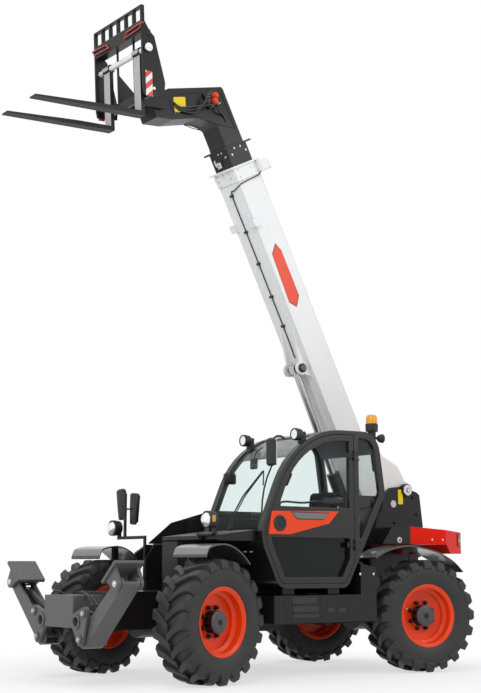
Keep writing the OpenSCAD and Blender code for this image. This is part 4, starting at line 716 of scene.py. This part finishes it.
# Hub faces and tyre valves
for wheel in WHEELS:
    c, a, _ = wheel_place(wheel)
    hub = Solid()
    place = frame_at(c, a, UP)
    hub.lathe([(0.0, 0.138), (0.084, 0.138), (0.098, 0.134), (0.104, 0.126), (0.104, 0.118)], place, 40, 1)
    for turn in (35, 125):
        blade = place @ Matrix.Rotation(radians(turn), 4, "Z")
        hub.box((-0.08, -0.014, 0.136), (0.08, 0.014, 0.1425), 0.002, 1, blade)
    hub.lathe([(0.0, 0.148), (0.024, 0.148), (0.03, 0.142), (0.03, 0.134)], place, 20)
    valve = place @ Matrix.Rotation(radians(70), 4, "Z")
    hub.tube([valve @ Vector((0.2, 0, 0.03)), valve @ Vector((0.215, 0, 0.08))], 0.006, 8, 2)
    hub.build("hub_face_" + wheel, [BLACK, HUB_GREY, ZINC], "wheel_" + wheel)


# Boom: plain panels, hose with clips, bolts, lift pin and weld lines
def boom_trim():
    for side, name in ((1, "left"), (-1, "right")):
        place = frame_at(on_boom(0, side * BOOM_HALF, 0), LEFT * side, BOOM_OUT)
        line = [(3.27, -0.45), (3.175, -0.55), (2.6, -0.575), (2.512, -0.497), (2.62, -0.402), (3.17, -0.404)]
        panel = Solid()
        panel.plate([(t, -side * u) for t, u in line], place, 0.0, 0.002, 0.0005, 1)
        mid = Vector((2.89, -0.485))
        inner = [mid + (Vector(p) - mid) * 0.955 for p in line]
        panel.plate([(p.x, -side * p.y) for p in inner], place, 0.0, 0.0032, 0.0005, 0)
        panel.build("boom_panel_" + name, [ORANGE, DEEP_RED], "boom")
    low = BOOM_LOW
    seat = low - 0.009
    line = [(4.085, 0.21, -0.27), (4.047, 0.195, -0.33), (4.038, 0.182, -0.45), (4.03, 0.182, -0.57),
            (4.02, 0.178, low - 0.004), (4.005, 0.13, low - 0.008), (3.98, 0.05, seat), (3.94, -0.012, seat),
            (3.5, -0.018, seat), (3.12, -0.018, seat), (2.72, -0.018, seat), (2.36, -0.02, seat),
            (2.12, -0.024, seat), (1.97, -0.03, low - 0.012)]
    hose_piece("boom_hose", [[on_boom(*p) for p in line]], 0.0065, "boom")
    clips = Solid()
    place = frame_at(on_boom(0, 0, 0), BOOM_UP, BOOM_OUT)
    for t in (3.935, 3.5, 3.12, 2.72, 2.36):
        clips.box((t - 0.014, -0.045, low - 0.026), (t + 0.014, 0.01, low), 0.004, 0, place)
    clips.box((4.07, 0.189, -0.3), (4.21, 0.25, -0.14), 0.012, 1, place)
    clips.build("boom_brackets", [PLASTIC, WHITE], "boom")
    places = []
    for t, y in ((4.185, -0.14), (4.185, -0.03), (4.185, 0.08), (4.12, 0.08), (4.125, -0.14), (4.07, -0.14)):
        places.append((on_boom(t, y, low - 0.0145), -BOOM_UP))
    for t, u in ((4.18, -0.57), (4.1, -0.57), (4.16, -0.38)):
        places += [(on_boom(t, side * COLLAR_HALF, u), LEFT * side) for side in (1, -1)]
    bolts("collar_bolts", places, "boom", ZINC, across=0.02, height=0.008, washer=0.026)
    pins = Solid()
    ends = [on_boom(1.86, side * 0.125, -0.71) for side in (1, -1)]
    for side, pins_at in zip((1, -1), ends):
        disc(pins, pins_at, LEFT * side, 0.052, 0.018)
        disc(pins, pins_at, LEFT * side, 0.034, 0.03, 1)
    pins.tube(ends[::-1], 0.0298, 24)
    pins.build("lift_pin_caps", [BLACK, GREY_BLACK], "boom")
    welds = Solid()
    for side in (1, -1):
        for u in (-0.281, low):
            welds.tube([on_boom(t, side * BOOM_HALF, u) for t in (0.9, 4.06)], 0.004, 6)
    welds.build("boom_weld_lines", WHITE, "boom", angle=60)


boom_trim()


# Second section: bolts round its end and a bright fitting below
def second_trim():
    places = []
    for t, across, up in ((4.36, (-0.1, 0.1), (-0.34, -0.55)), (4.42, (0.0, 0.06), (-0.4, -0.49))):
        places += [(on_boom(t, y, -0.6), -BOOM_UP) for y in across]
        places += [(on_boom(t, side * SECOND_HALF, u), LEFT * side) for u in up for side in (1, -1)]
    bolts("second_bolts", places, "boom_second", ZINC, across=0.02, height=0.009, washer=0.026)
    fitting = Solid()
    place = frame_at(on_boom(4.3, -0.04, -0.6), -BOOM_UP, BOOM_OUT)
    fitting.box((-0.035, -0.035, 0), (0.035, 0.035, 0.02), 0.004, 0, place)
    fitting.tube([place @ Vector(p) for p in ((0, 0, 0.01), (0, 0, 0.05), (0.05, 0, 0.06))], 0.012)
    fitting.build("second_fitting", ZINC, "boom_second")


second_trim()


# Boom head: plain yellow plate, rims, couplers with caps, and hoses
def head_trim():
    head = Solid()
    for side in (1, -1):
        place = frame_at(on_boom(0, side * HEAD_HALF, 0), LEFT * side, BOOM_OUT)
        if side > 0:
            line = ((5.164, -1.015), (5.123, -0.86), (4.977, -0.919), (4.996, -1.071))
            head.plate([(t, -u) for t, u in line], place, 0, 0.003, 0.0008, 1)
        rim = [(4.62, -0.36), (5.04, -0.36), (5.19, -0.95), (5.13, -1.08), (5.02, -1.1), (4.9, -0.84), (4.8, -0.7)]
        head.loop([on_boom(t, side * HEAD_HALF, u) for t, u in rim], 0.005, 6)
        disc(head, on_boom(HEAD_PIN[0], side * HEAD_HALF, HEAD_PIN[1]), LEFT * side, 0.007, 0.002)
    base = frame_at(on_boom(5.03, HEAD_HALF, -0.52), LEFT, BOOM_OUT)
    head.box((-0.12, -0.06, 0), (0.06, 0.1, 0.03), 0.006, 0, base)
    for x, y in ((0.0, -0.03), (-0.055, 0.0)):
        stack(head, base @ Vector((x, y, 0.03)), LEFT, (0.036, 0.03, 2), (0.026, 0.018, 2))
    unions = ((0.02, 0.05), (-0.03, 0.075), (-0.09, 0.06), (-0.1, -0.03))
    for x, y in unions:
        stack(head, base @ Vector((x, y, 0.03)), LEFT, (0.014, 0.022, 3), (0.01, 0.02, 3), sides=12)
    for u in (-0.33, -0.355):
        head.tube([on_boom(4.98, 0.12, u), on_boom(5.08, 0.12, u)], 0.012, 10, 3)
    head.build("head_trim", [BLACK, YELLOW, ORANGE, ZINC], "boom_third")
    paths = []
    for k, (x, y) in enumerate(unions[:3]):
        start = base @ Vector((x, y, 0.07))
        paths.append([start, start + LEFT * 0.03 + BOOM_UP * -0.05, on_boom(4.93 + 0.03 * k, 0.165, -0.8),
                      on_boom(4.99 + 0.02 * k, 0.162, -0.98), on_boom(5.06 + 0.02 * k, 0.15, -1.04)])
    paths.append([base @ Vector((-0.1, -0.03, 0.07)), on_boom(4.86, 0.19, -0.52), on_boom(4.8, 0.155, -0.46),
                  on_boom(4.72, 0.146, -0.44)])
    hose_piece("head_hoses", paths, 0.011, "boom_third")


head_trim()


# Carriage: banded plates, shaft ends, pin heads and red loops
def carriage_trim():
    trim = Solid()
    face = 0.48
    for side in (1, -1):
        place = frame_at(on_carriage(0, side * face, 0), LEFT * side, FORK_OUT)
        trim.plate(rect(0.318, side * 0.07, 0.4, -side * 0.2), place, 0, 0.003, 0.0008, 1)
        stack(trim, on_carriage(FORK_SHAFT[0], side * 0.502, FORK_SHAFT[2]), LEFT * side, (0.044, 0.016, 2),
              (0.02, 0.012, 2))
        disc(trim, on_carriage(0.3, side * face, 0.02), LEFT * side, 0.016, 0.012, 2)
        disc(trim, on_carriage(0.34, side * face, 0.6), LEFT * side, 0.02, 0.008)
        line = ((0.157, 0.64), (0.455, 0.652), (0.495, 0.704), (0.21, 0.69))
        corners = [on_carriage(0.442, side * y, u) for y, u in line]
        trim.loop(corners, 0.007, 8, 4)
        for k in (0, 2):
            trim.tube([corners[k], corners[k] - FORK_OUT * 0.03], 0.009, 8, 4)
    trim.build("carriage_trim", [BLACK, BANDS, STEEL, WORN_STEEL, RED], "carriage")


carriage_trim()


# Tower: plain plates and bolts, and a white cap on the boom's pivot
def tower_trim():
    trim = Solid()
    face = 0.083
    trim.plate(rect(-2.336, -1.985, -2.26, -1.815), left_face(face), 0, 0.003, 0.0008)
    disc(trim, (-2.185, face, 1.815), LEFT, 0.042, 0.003, 1)
    for side, y in ((1, 0.109), (-1, -0.379)):
        stack(trim, (PIVOT.x, y, PIVOT.z), LEFT * side, (0.062, 0.012, 2), (0.02, 0.01, 3))
    trim.build("tower_plates", [YELLOW, PALE, WHITE, ZINC])
    places = [((x, face, z), LEFT) for x, z in ((-2.5, 1.9), (-2.56, 1.7), (-2.2, 1.6), (-2.05, 1.45), (-2.45, 1.5))]
    bolts("tower_bolts", places, "machine", BLACK, across=0.03, height=0.016)


tower_trim()


# Cab: roof lining, wipers, mirror by the pillar, and fittings inside
def cab_trim():
    lining = Solid()
    line = [p for p in cab_line(0.05, 16) if p[1] > 2.1 and p[0] < 0.05]
    line.sort(key=lambda p: p[0])
    inner = [(x, z - 0.02) for x, z in line]
    rings = [[Vector((x, y, z)) for x, z in line + inner[::-1]] for y in (0.14, 0.985)]
    lining.loft(rings)
    for x, y in ((-0.35, 0.8), (-0.35, 0.32), (-0.75, 0.8), (-0.75, 0.32)):
        z = min(line, key=lambda p: abs(p[0] - x))[1] - 0.024
        ring(lining, (x, y, z), -UP, 0.045, 0.075, 0.012, 1)
        disc(lining, (x, y, z), -UP, 0.05, 0.006, 1)
    lining.build("roof_lining", [GREY_TRIM_AND_PAINTED_SLOT_LIGHT, PLASTIC])
    wipers = Solid()
    for shift, r in ((0.0, 0.008), (0.035, 0.006)):
        arm = ((1.5, 0.025, 0.36 + shift), (1.6, 0.032, 0.44 + shift), (1.8, 0.03, 0.58 + shift),
               (2.05, 0.03, 0.78 + shift * 0.4))
        wipers.tube([(screen_x(z, out), y, z) for z, out, y in arm], r, 8)
    blade = [(screen_x(z, 0.014), 0.86 + 0.012 * k, z) for k, z in enumerate((2.1, 1.98, 1.86, 1.74, 1.62, 1.55))]
    wipers.tube(blade, 0.009, 8)
    wipers.tube([(screen_x(2.05, 0.03), 0.79, 2.05), (screen_x(1.9, 0.028), 0.872, 1.9)], 0.007, 8)
    disc(wipers, (screen_x(1.49, 0.0), 0.375, 1.49), (1, 0, 0.2), 0.03, 0.03)
    wipers.build("wipers", PLASTIC, angle=60)
    mirror = Solid()
    place = Matrix.Translation((0.335, 0.985, 2.225))
    mirror.box((-0.035, -0.06, -0.14), (0.025, 0.06, 0.14), 0.02, 0, place)
    mirror.box((-0.04, -0.052, -0.13), (-0.033, 0.052, 0.13), 0.003, 1, place)
    mirror.tube(smooth_path([(0.14, 0.96, 2.372), (0.2, 0.975, 2.39), (0.27, 0.985, 2.38), (0.32, 0.985, 2.33)]),
                0.011, 8)
    mirror.tube([(0.32, 0.985, 2.36), (0.33, 0.985, 2.1)], 0.009, 8)
    mirror.build("pillar_mirror", [PLASTIC, MIRROR])
    inside = Solid()
    inside.box((0.165, 0.15, 1.945), (0.315, 0.195, 2.06), 0.012)
    inside.tube([(0.24, 0.155, 2.0), (0.24, 0.12, 2.0)], 0.012, 8)
    inside.box((0.122, 0.39, 2.09), (0.146, 0.51, 2.205), 0.01)
    inside.tube(smooth_path([(0.134, 0.45, 2.19), (0.1, 0.45, 2.27), (0.02, 0.45, 2.325)]), 0.007, 8)
    screen = Matrix.Translation((-0.215, 0.55, 1.995)) @ Matrix.Rotation(radians(-28), 4, "Y")
    inside.box((-0.016, -0.05, -0.075), (0.016, 0.05, 0.075), 0.008, 0, screen)
    inside.tube(smooth_path([(-0.19, 0.55, 1.94), (-0.1, 0.56, 1.8), (0.02, 0.6, 1.66), (0.06, 0.62, 1.6)]), 0.011, 8)
    inside.build("cab_fittings", PLASTIC, angle=50)


cab_trim()


# Door: round handle, plain plate, inner latch, grab bar and hinges
def door_trim():
    trim = Solid()
    face = 1.06
    ring(trim, (0.281, face, 1.521), LEFT, 0.052, 0.078, 0.01)
    disc(trim, (0.281, face - 0.002, 1.521), LEFT, 0.054, 0.005)
    trim.box((0.262, face, 1.5), (0.3, face + 0.012, 1.545), 0.006)
    place = left_face(face)
    trim.plate([(0.13, -1.63), (0.06, -1.57), (-0.29, -1.57), (-0.35, -1.63)], place, 0, 0.003, 0.0008, 1)
    trim.plate([(0.145, -1.638), (0.065, -1.562), (-0.285, -1.562), (-0.365, -1.638)], place, 0, 0.0018, 0.0005, 2)
    trim.box((-0.62, 0.955, 1.725), (-0.33, 0.995, 1.8), 0.014, 2)
    disc(trim, (-0.44, 0.99, 1.762), LEFT, 0.034, 0.012, 2)
    trim.tube(smooth_path([(0.22, 0.985, 1.66), (0.2, 0.96, 1.72), (0.12, 0.955, 1.74), (-0.1, 0.955, 1.735),
                           (-0.33, 0.96, 1.76)]), 0.011, 8, 2)
    for z in (1.29, 2.2):
        trim.box((-0.7, 1.05, z), (-0.6, 1.064, z + 0.055), 0.004, 2)
    trim.build("door_trim", [PLASTIC, GREY_TRIM_AND_PAINTED_SLOT_LIGHT, CAB_BLACK], "door")
    places = [((x, 1.064, z + dz), LEFT) for z in (1.29, 2.2) for x in (-0.68, -0.63) for dz in (0.015, 0.042)]
    bolts("door_hinge_bolts", places, "door", BLACK, across=0.016, height=0.007)


door_trim()


# Lamps: housings and amber lenses, then the beacon and a small lamp behind it
def lamp_trim():
    trim = Solid()
    r, deep = 0.07, 0.09
    for side, c in ((1, Vector((1.128, 1.0, 1.54))), (-1, Vector((1.013, -0.905, 1.505)))):
        place = frame_at(c, AHEAD, UP)
        trim.lathe([(0.062, 0.0), (r + 0.012, 0.004), (r + 0.014, -0.03), (r + 0.004, -deep), (0.03, -deep - 0.03),
                    (0.0, -deep - 0.03), (0.0, -deep), (0.05, -deep + 0.01)], place, 36, closed=True)
        trim.lathe([(0.062, 0.0), (0.058, 0.016), (0.044, 0.032), (0.022, 0.041), (0.0, 0.044)], place, 32, 2)
        trim.box(c + Vector((-0.05, side * 0.074, -0.025)), c + Vector((-0.01, side * 0.092, 0.04)), 0.008, 1)
    for y in (0.129, 0.991):
        place = frame_at((0.036, y, 2.42), AHEAD, UP)
        trim.lathe([(0.048, 0.004), (0.06, 0.006), (0.064, -0.02), (0.056, -0.075), (0.03, -0.1), (0.0, -0.1),
                    (0.0, -0.08), (0.046, -0.07)], place, 28, closed=True)
    trim.build("lamp_housings", [PLASTIC, AMBER, LENS])
    base = Solid()
    up = frame_at((CAB_REAR + 0.06, 0.93, 2.56), UP)
    base.lathe([(0.0, -0.028), (0.066, -0.028), (0.068, 0.0), (0.068, 0.034), (0.062, 0.042), (0.0, 0.042)], up, 36)
    back = frame_at((CAB_REAR - 0.035, 0.98, 2.446), (-1, 0.15, 0), UP)
    base.lathe([(0.0, -0.055), (0.026, -0.05), (0.044, -0.02), (0.048, 0.01), (0.044, 0.014), (0.038, 0.006)],
               back, 28)
    base.lathe([(0.038, 0.006), (0.02, 0.003), (0.0, 0.002)], back, 28, 1)
    base.tube([(CAB_REAR + 0.06, 0.94, 2.46), (CAB_REAR + 0.01, 0.98, 2.44)], 0.012, 8)
    base.build("beacon_base", [PLASTIC, LENS])
    dome = Solid()
    dome.lathe([(0.0, 0.0421), (0.06, 0.0421), (0.061, 0.08), (0.058, 0.112), (0.048, 0.132), (0.028, 0.139),
                (0.0, 0.14)], up, 36)
    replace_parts(dome.build("beacon_lens", AMBER), "beacon")


lamp_trim()


# Rear end: tail lamps on dark plates, round caps and bolts on the sides
def rear_trim():
    trim = Solid()
    face = 0.951
    for side in (1, -1):
        a, b = Vector((-2.143, side * 0.95, 0)), Vector((-2.53, side * 0.8, 0))
        along = (b - a).normalized()
        out = Vector((along.y, -along.x, 0)) * side
        place = frame_at(a.lerp(b, 0.86) + Vector((0, 0, 1.39)), out, along)
        trim.box((-0.05, -0.075, -0.002), (0.05, 0.075, 0.004), 0.002, 0, place)
        for k, mark in ((-1, 1), (0, 2), (1, 1)):
            trim.box((-0.034, k * 0.044 - 0.02, 0.003), (0.034, k * 0.044 + 0.02, 0.012), 0.004, mark, place)
        stack(trim, (-1.431, side * face, 1.378), LEFT * side, (0.032, 0.012, 3), (0.014, 0.006, 1))
    trim.build("tail_lamps", [PLASTIC, RED_LENS, AMBER, PALE])
    places = [((x, side * face, 1.388), LEFT * side) for side in (1, -1) for x in (-1.926, -2.088)]
    bolts("rear_plate_bolts", places, "machine", ZINC, across=0.016, height=0.008)


rear_trim()


# Step box: slots and tread, tank lid
def step_trim():
    trim = Solid()
    face = 1.035
    place = left_face(face)
    # The two slots are thin near-black plates on the face: painted shade where openings would be.
    for x in (-0.39, -0.54):
        trim.plate(rect(x - 0.045, -0.688, x + 0.045, -0.645), place, 0, 0.0015, 0.0004, 1)
    trim.plate([(0.12, -0.8), (-0.2, -0.8), (-0.235, -0.6), (0.085, -0.6)], place, 0, 0.002, 0.0006, 1)
    for x in (0.26, -0.27, -0.64, -0.8):
        trim.box((x - 0.004, face, 0.555), (x + 0.004, face + 0.003, 0.812), 0.001, 1)
    for z in (0.64, 0.72):
        trim.box((-0.22, face, z), (0.11, face + 0.01, z + 0.012), 0.003)
    disc(trim, (-0.9, 0.88, 1.112), (-0.18, 0, 1), 0.05, 0.03, 2)
    trim.build("step_trim", [BLACK, SEAL_AND_PAINTED_SHADE, PLASTIC])
    places = [((x, face, 1.023), LEFT) for x in (-0.79, -0.975)]
    bolts("tank_bolts", places, "machine", ZINC, across=0.018, height=0.008)


step_trim()


# Front deck: slots in its side, grey marks that are painted highlight and shade in place of open slots, and a web
# plate below
def deck_trim():
    trim = Solid()
    for x in (0.72, 0.645, 0.57):
        trim.box((x - 0.02, 0.97, 1.234), (x + 0.02, 0.972, 1.246), 0.0008)
    trim.box((0.5, -0.349, 0.8602), (0.945, -0.331, 0.9498), 0.003, 1)
    trim.build("deck_slots", [GREY_TRIM_AND_PAINTED_SLOT_LIGHT, BLACK])


deck_trim()


# Panel with a round cap on the quarter window
def side_panel():
    panel = Solid()
    face, thick = 1.0052, 0.006
    line = [(-0.775, -1.7), (-1.055, -1.705), (-1.062, -1.83), (-0.775, -1.83)]
    panel.plate(line, left_face(face), 0, thick, 0.001)
    disc(panel, (-1.02, face + thick, 1.77), LEFT, 0.032, 0.018)
    panel.build("side_panel", CAB_BLACK)


side_panel()


# Stabilisers: pin heads, ring rims and hoses
def stabiliser_trim():
    face = 2.141
    trim = Solid()
    for side in (1, -1):
        ring(trim, (face, side * 0.34, 0.59), AHEAD, 0.0455, 0.072, 0.012)
        for y, z in ((0.41, 0.43), (0.48, 0.67)):
            stack(trim, (face, side * y, z), AHEAD, (0.042, 0.014, 0), (0.022, 0.014, 1))
    trim.build("stabiliser_pin_heads", [GREY_BLACK, WORN_STEEL])
    for name, side in (("left", 1), ("right", -1)):
        pins = Solid()
        for x, way in ((face, 1), (1.871, -1)):
            stack(pins, (x, side * 1.02, 0.945), AHEAD * way, (0.03, 0.012, 0), (0.014, 0.008, 0))
        pins.build("pad_pins_" + name, ZINC, "stab_foot_" + name)
        paths = []
        for k, x in enumerate((1.98, 2.03)):
            paths.append([(1.9, side * 0.18, 0.8), (x, side * 0.24, 0.845 + 0.02 * k),
                          (x, side * 0.36, 0.8 + 0.02 * k), (x, side * 0.455, 0.735)])
        hose_piece("stabiliser_hoses_" + name, paths, 0.01, "machine")


stabiliser_trim()


# Mirrors on the right stem, shaped like shields
def mirror_pair():
    made = Solid()
    for y, z, lean in ((-0.9, 1.757, 5), (-0.645, 1.702, -5)):
        place = Matrix.Translation((0.899, y, z)) @ Matrix.Rotation(radians(lean), 4, "X")
        rings = []
        for z, w, d in ((-0.165, 0.035, 0.014), (-0.155, 0.05, 0.022), (0.0, 0.064, 0.026), (0.145, 0.074, 0.026),
                        (0.162, 0.06, 0.02), (0.167, 0.045, 0.014)):
            rings.append([place @ Vector((d * copysign(abs(cos(t)) ** 0.5, cos(t)),
                                          w * copysign(abs(sin(t)) ** 0.6, sin(t)), z))
                          for t in [2 * pi * k / 24 for k in range(24)]])
        made.loft(rings)
        made.plate([(-0.052, -0.14), (0.052, -0.14), (0.064, 0.14), (-0.064, 0.14)],
                   place @ frame_at((-0.024, 0, 0), (-1, 0, 0), (0, -1, 0)), 0, 0.004, 0.001, 1)
    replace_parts(made.build("mirror_pair", [PLASTIC, MIRROR], angle=40), "mirrors")


mirror_pair()


# Seat: two padded cushions on a bellows base
def pad(name, low, high, place, seams, cap=0.012):
    rough = Solid().box(low, high, 0.03).build(name + "_start", CLOTH, None)
    rough.modifiers.new("voxels", "REMESH").voxel_size = 0.008
    mesh = baked(rough, name)
    bpy.data.objects.remove(rough)
    obj = add_object(name, mesh)
    before = [v.co.copy() for v in mesh.vertices]
    cloth = obj.modifiers.new("swell", "CLOTH")
    cloth.settings.use_pressure = True
    cloth.settings.uniform_pressure_force = 4
    cloth.settings.effector_weights.gravity = 0
    cloth.point_cache.frame_start, cloth.point_cache.frame_end = 1, 20
    for step in range(1, 21):
        scene.frame_set(step)
    swollen = obj.evaluated_get(bpy.context.evaluated_depsgraph_get()).data
    after = [v.co.copy() for v in swollen.vertices]
    obj.modifiers.clear()
    scene.frame_set(1)
    for v, a, b in zip(mesh.vertices, before, after):
        move = b - a
        v.co = a + move * min(1, cap / max(move.length, 1e-9))
    for v in mesh.vertices:
        dip = sum(0.01 * exp(-((v.co[axis] - at) / 0.01) ** 2) for axis, at in seams)
        v.co += v.normal * -dip
    smooth = obj.modifiers.new("smooth", "SUBSURF")
    smooth.levels = smooth.render_levels = 1
    done = baked(obj, name)
    obj.modifiers.clear()
    obj.data = done
    done.transform(place)
    for face in done.polygons:
        face.use_smooth = True
    if not done.materials:
        done.materials.append(CLOTH)
    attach(obj, "machine")
    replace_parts(obj, "seat")


pad("seat_cushion", (-0.556, -0.226, 1.292), (-0.198, 0.226, 1.376), Matrix.Translation((0, 0.56, 0)),
    ((1, -0.13), (1, 0.13), (0, -0.38)))
pad("seat_back", (0.014, -0.226, 0.014), (0.096, 0.226, 0.606),
    Matrix.Translation((-0.684, 0.56, 1.28)) @ Matrix.Rotation(radians(-10), 4, "Y"),
    ((1, -0.13), (1, 0.13), (2, 0.42)))


def seat_base():
    base = Solid()
    folds = [(0.931, 0), (0.985, 0)] + [(0.99 + 0.025 * k, 0.02 * (1 - k % 2)) for k in range(10)] + [(1.22, 0)]
    base.loft([[Vector((-0.379 + a * (0.085 - inset), 0.56 + b * (0.16 - inset), z))
                for a, b in rect(-1, -1, 1, 1)] for z, inset in folds])
    base.box((-0.6, 0.36, 1.22), (-0.22, 0.76, 1.281), 0.012)
    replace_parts(base.build("seat_base", PLASTIC), "seat")


seat_base()


# Engine side: louvres on the pod and hood
for name, body, corner, count, pitch, size in (
        ("pod_louvres", "machine", (-0.45, -1.094, 0.66), 11, 0.045, (0.62, 0.012, 0.03)),
        ("hood_louvres", "hood", (-0.314, -1.088, 1.24), 6, 0.042, (0.8, 0.004, 0.03))):
    made_by_nodes(name, bpy.data.meshes.new(name + "_start"), LOUVRE_TREE,
                  {"Count": count, "Pitch": pitch, "Size": size, "Tilt": 0.5, "Finish": BLACK}, body,
                  Matrix.Translation(corner))


# Floor, backdrop and light
def plain_sight(tree):
    """1 for rays that show the background, straight, in metal or through glass."""
    rays = node(tree, "ShaderNodeLightPath").outputs
    seen = rays["Is Camera Ray"]
    for kind in ("Is Glossy Ray", "Is Transmission Ray"):
        seen = calc(tree, "MAXIMUM", seen, rays[kind])
    return seen


def make_floor():
    material, tree, shader = new_material("studio_floor")
    tree.nodes.remove(shader)
    end = tree.nodes["Material Output"]
    dull = node(tree, "ShaderNodeBsdfDiffuse", {"Color": (0.9, 0.9, 0.9, 1)})
    glow = node(tree, "ShaderNodeEmission", {"Color": (1, 1, 1, 1), "Strength": 1.0})
    far = node(tree, "ShaderNodeVectorMath", {0: object_place(tree)}, operation="LENGTH").outputs["Value"]
    share = ramp(tree, far, 1.8, 4.6, 0.36, 0, interpolation_type="SMOOTHSTEP")
    soft = node(tree, "ShaderNodeMixShader", {0: share, 1: glow.outputs[0], 2: dull.outputs[0]})
    seen = plain_sight(tree)
    both = node(tree, "ShaderNodeMixShader", {0: seen, 1: dull.outputs[0], 2: soft.outputs[0]})
    tree.links.new(both.outputs[0], end.inputs["Surface"])
    mesh = bpy.data.meshes.new("studio_floor")
    size = 60
    mesh.from_pydata([(*corner, 0) for corner in rect(-size, -size, size, size)], [], [(0, 1, 2, 3)])
    mesh.materials.append(material)
    add_object("studio_floor", mesh)


def make_world():
    world = bpy.data.worlds.new("studio")
    scene.world = world
    world.use_nodes = True
    tree = world.node_tree
    back = tree.nodes["Background"]
    end = tree.nodes["World Output"]
    back.inputs["Color"].default_value = (0.95, 0.97, 1.0, 1)
    back.inputs["Strength"].default_value = 0.34
    white = node(tree, "ShaderNodeBackground", {"Color": (1, 1, 1, 1), "Strength": 1.0})
    seen = plain_sight(tree)
    both = node(tree, "ShaderNodeMixShader", {0: seen, 1: back.outputs[0], 2: white.outputs[0]})
    tree.links.new(both.outputs[0], end.inputs["Surface"])


def softbox(name, place, target, size, power):
    data = bpy.data.lights.new(name, "AREA")
    data.shape = "RECTANGLE"
    data.size, data.size_y = size
    data.energy = power
    lamp = add_object(name, data)
    lamp.location = place
    lamp.rotation_euler = (Vector(target) - Vector(place)).to_track_quat("-Z", "Y").to_euler()


make_floor()
make_world()
softbox("key_light", (9, 9, 11), (0, 0, 2), (7, 7), 840)
softbox("side_light", (-6, 10, 7), (-0.5, 0, 2), (6, 6), 380)
softbox("top_light", (1, -2, 12), (0, 0, 2), (8, 8), 420)
softbox("front_strip", (12, 1, 4.5), (-0.8, 0, 3.6), (1.6, 6), 320)
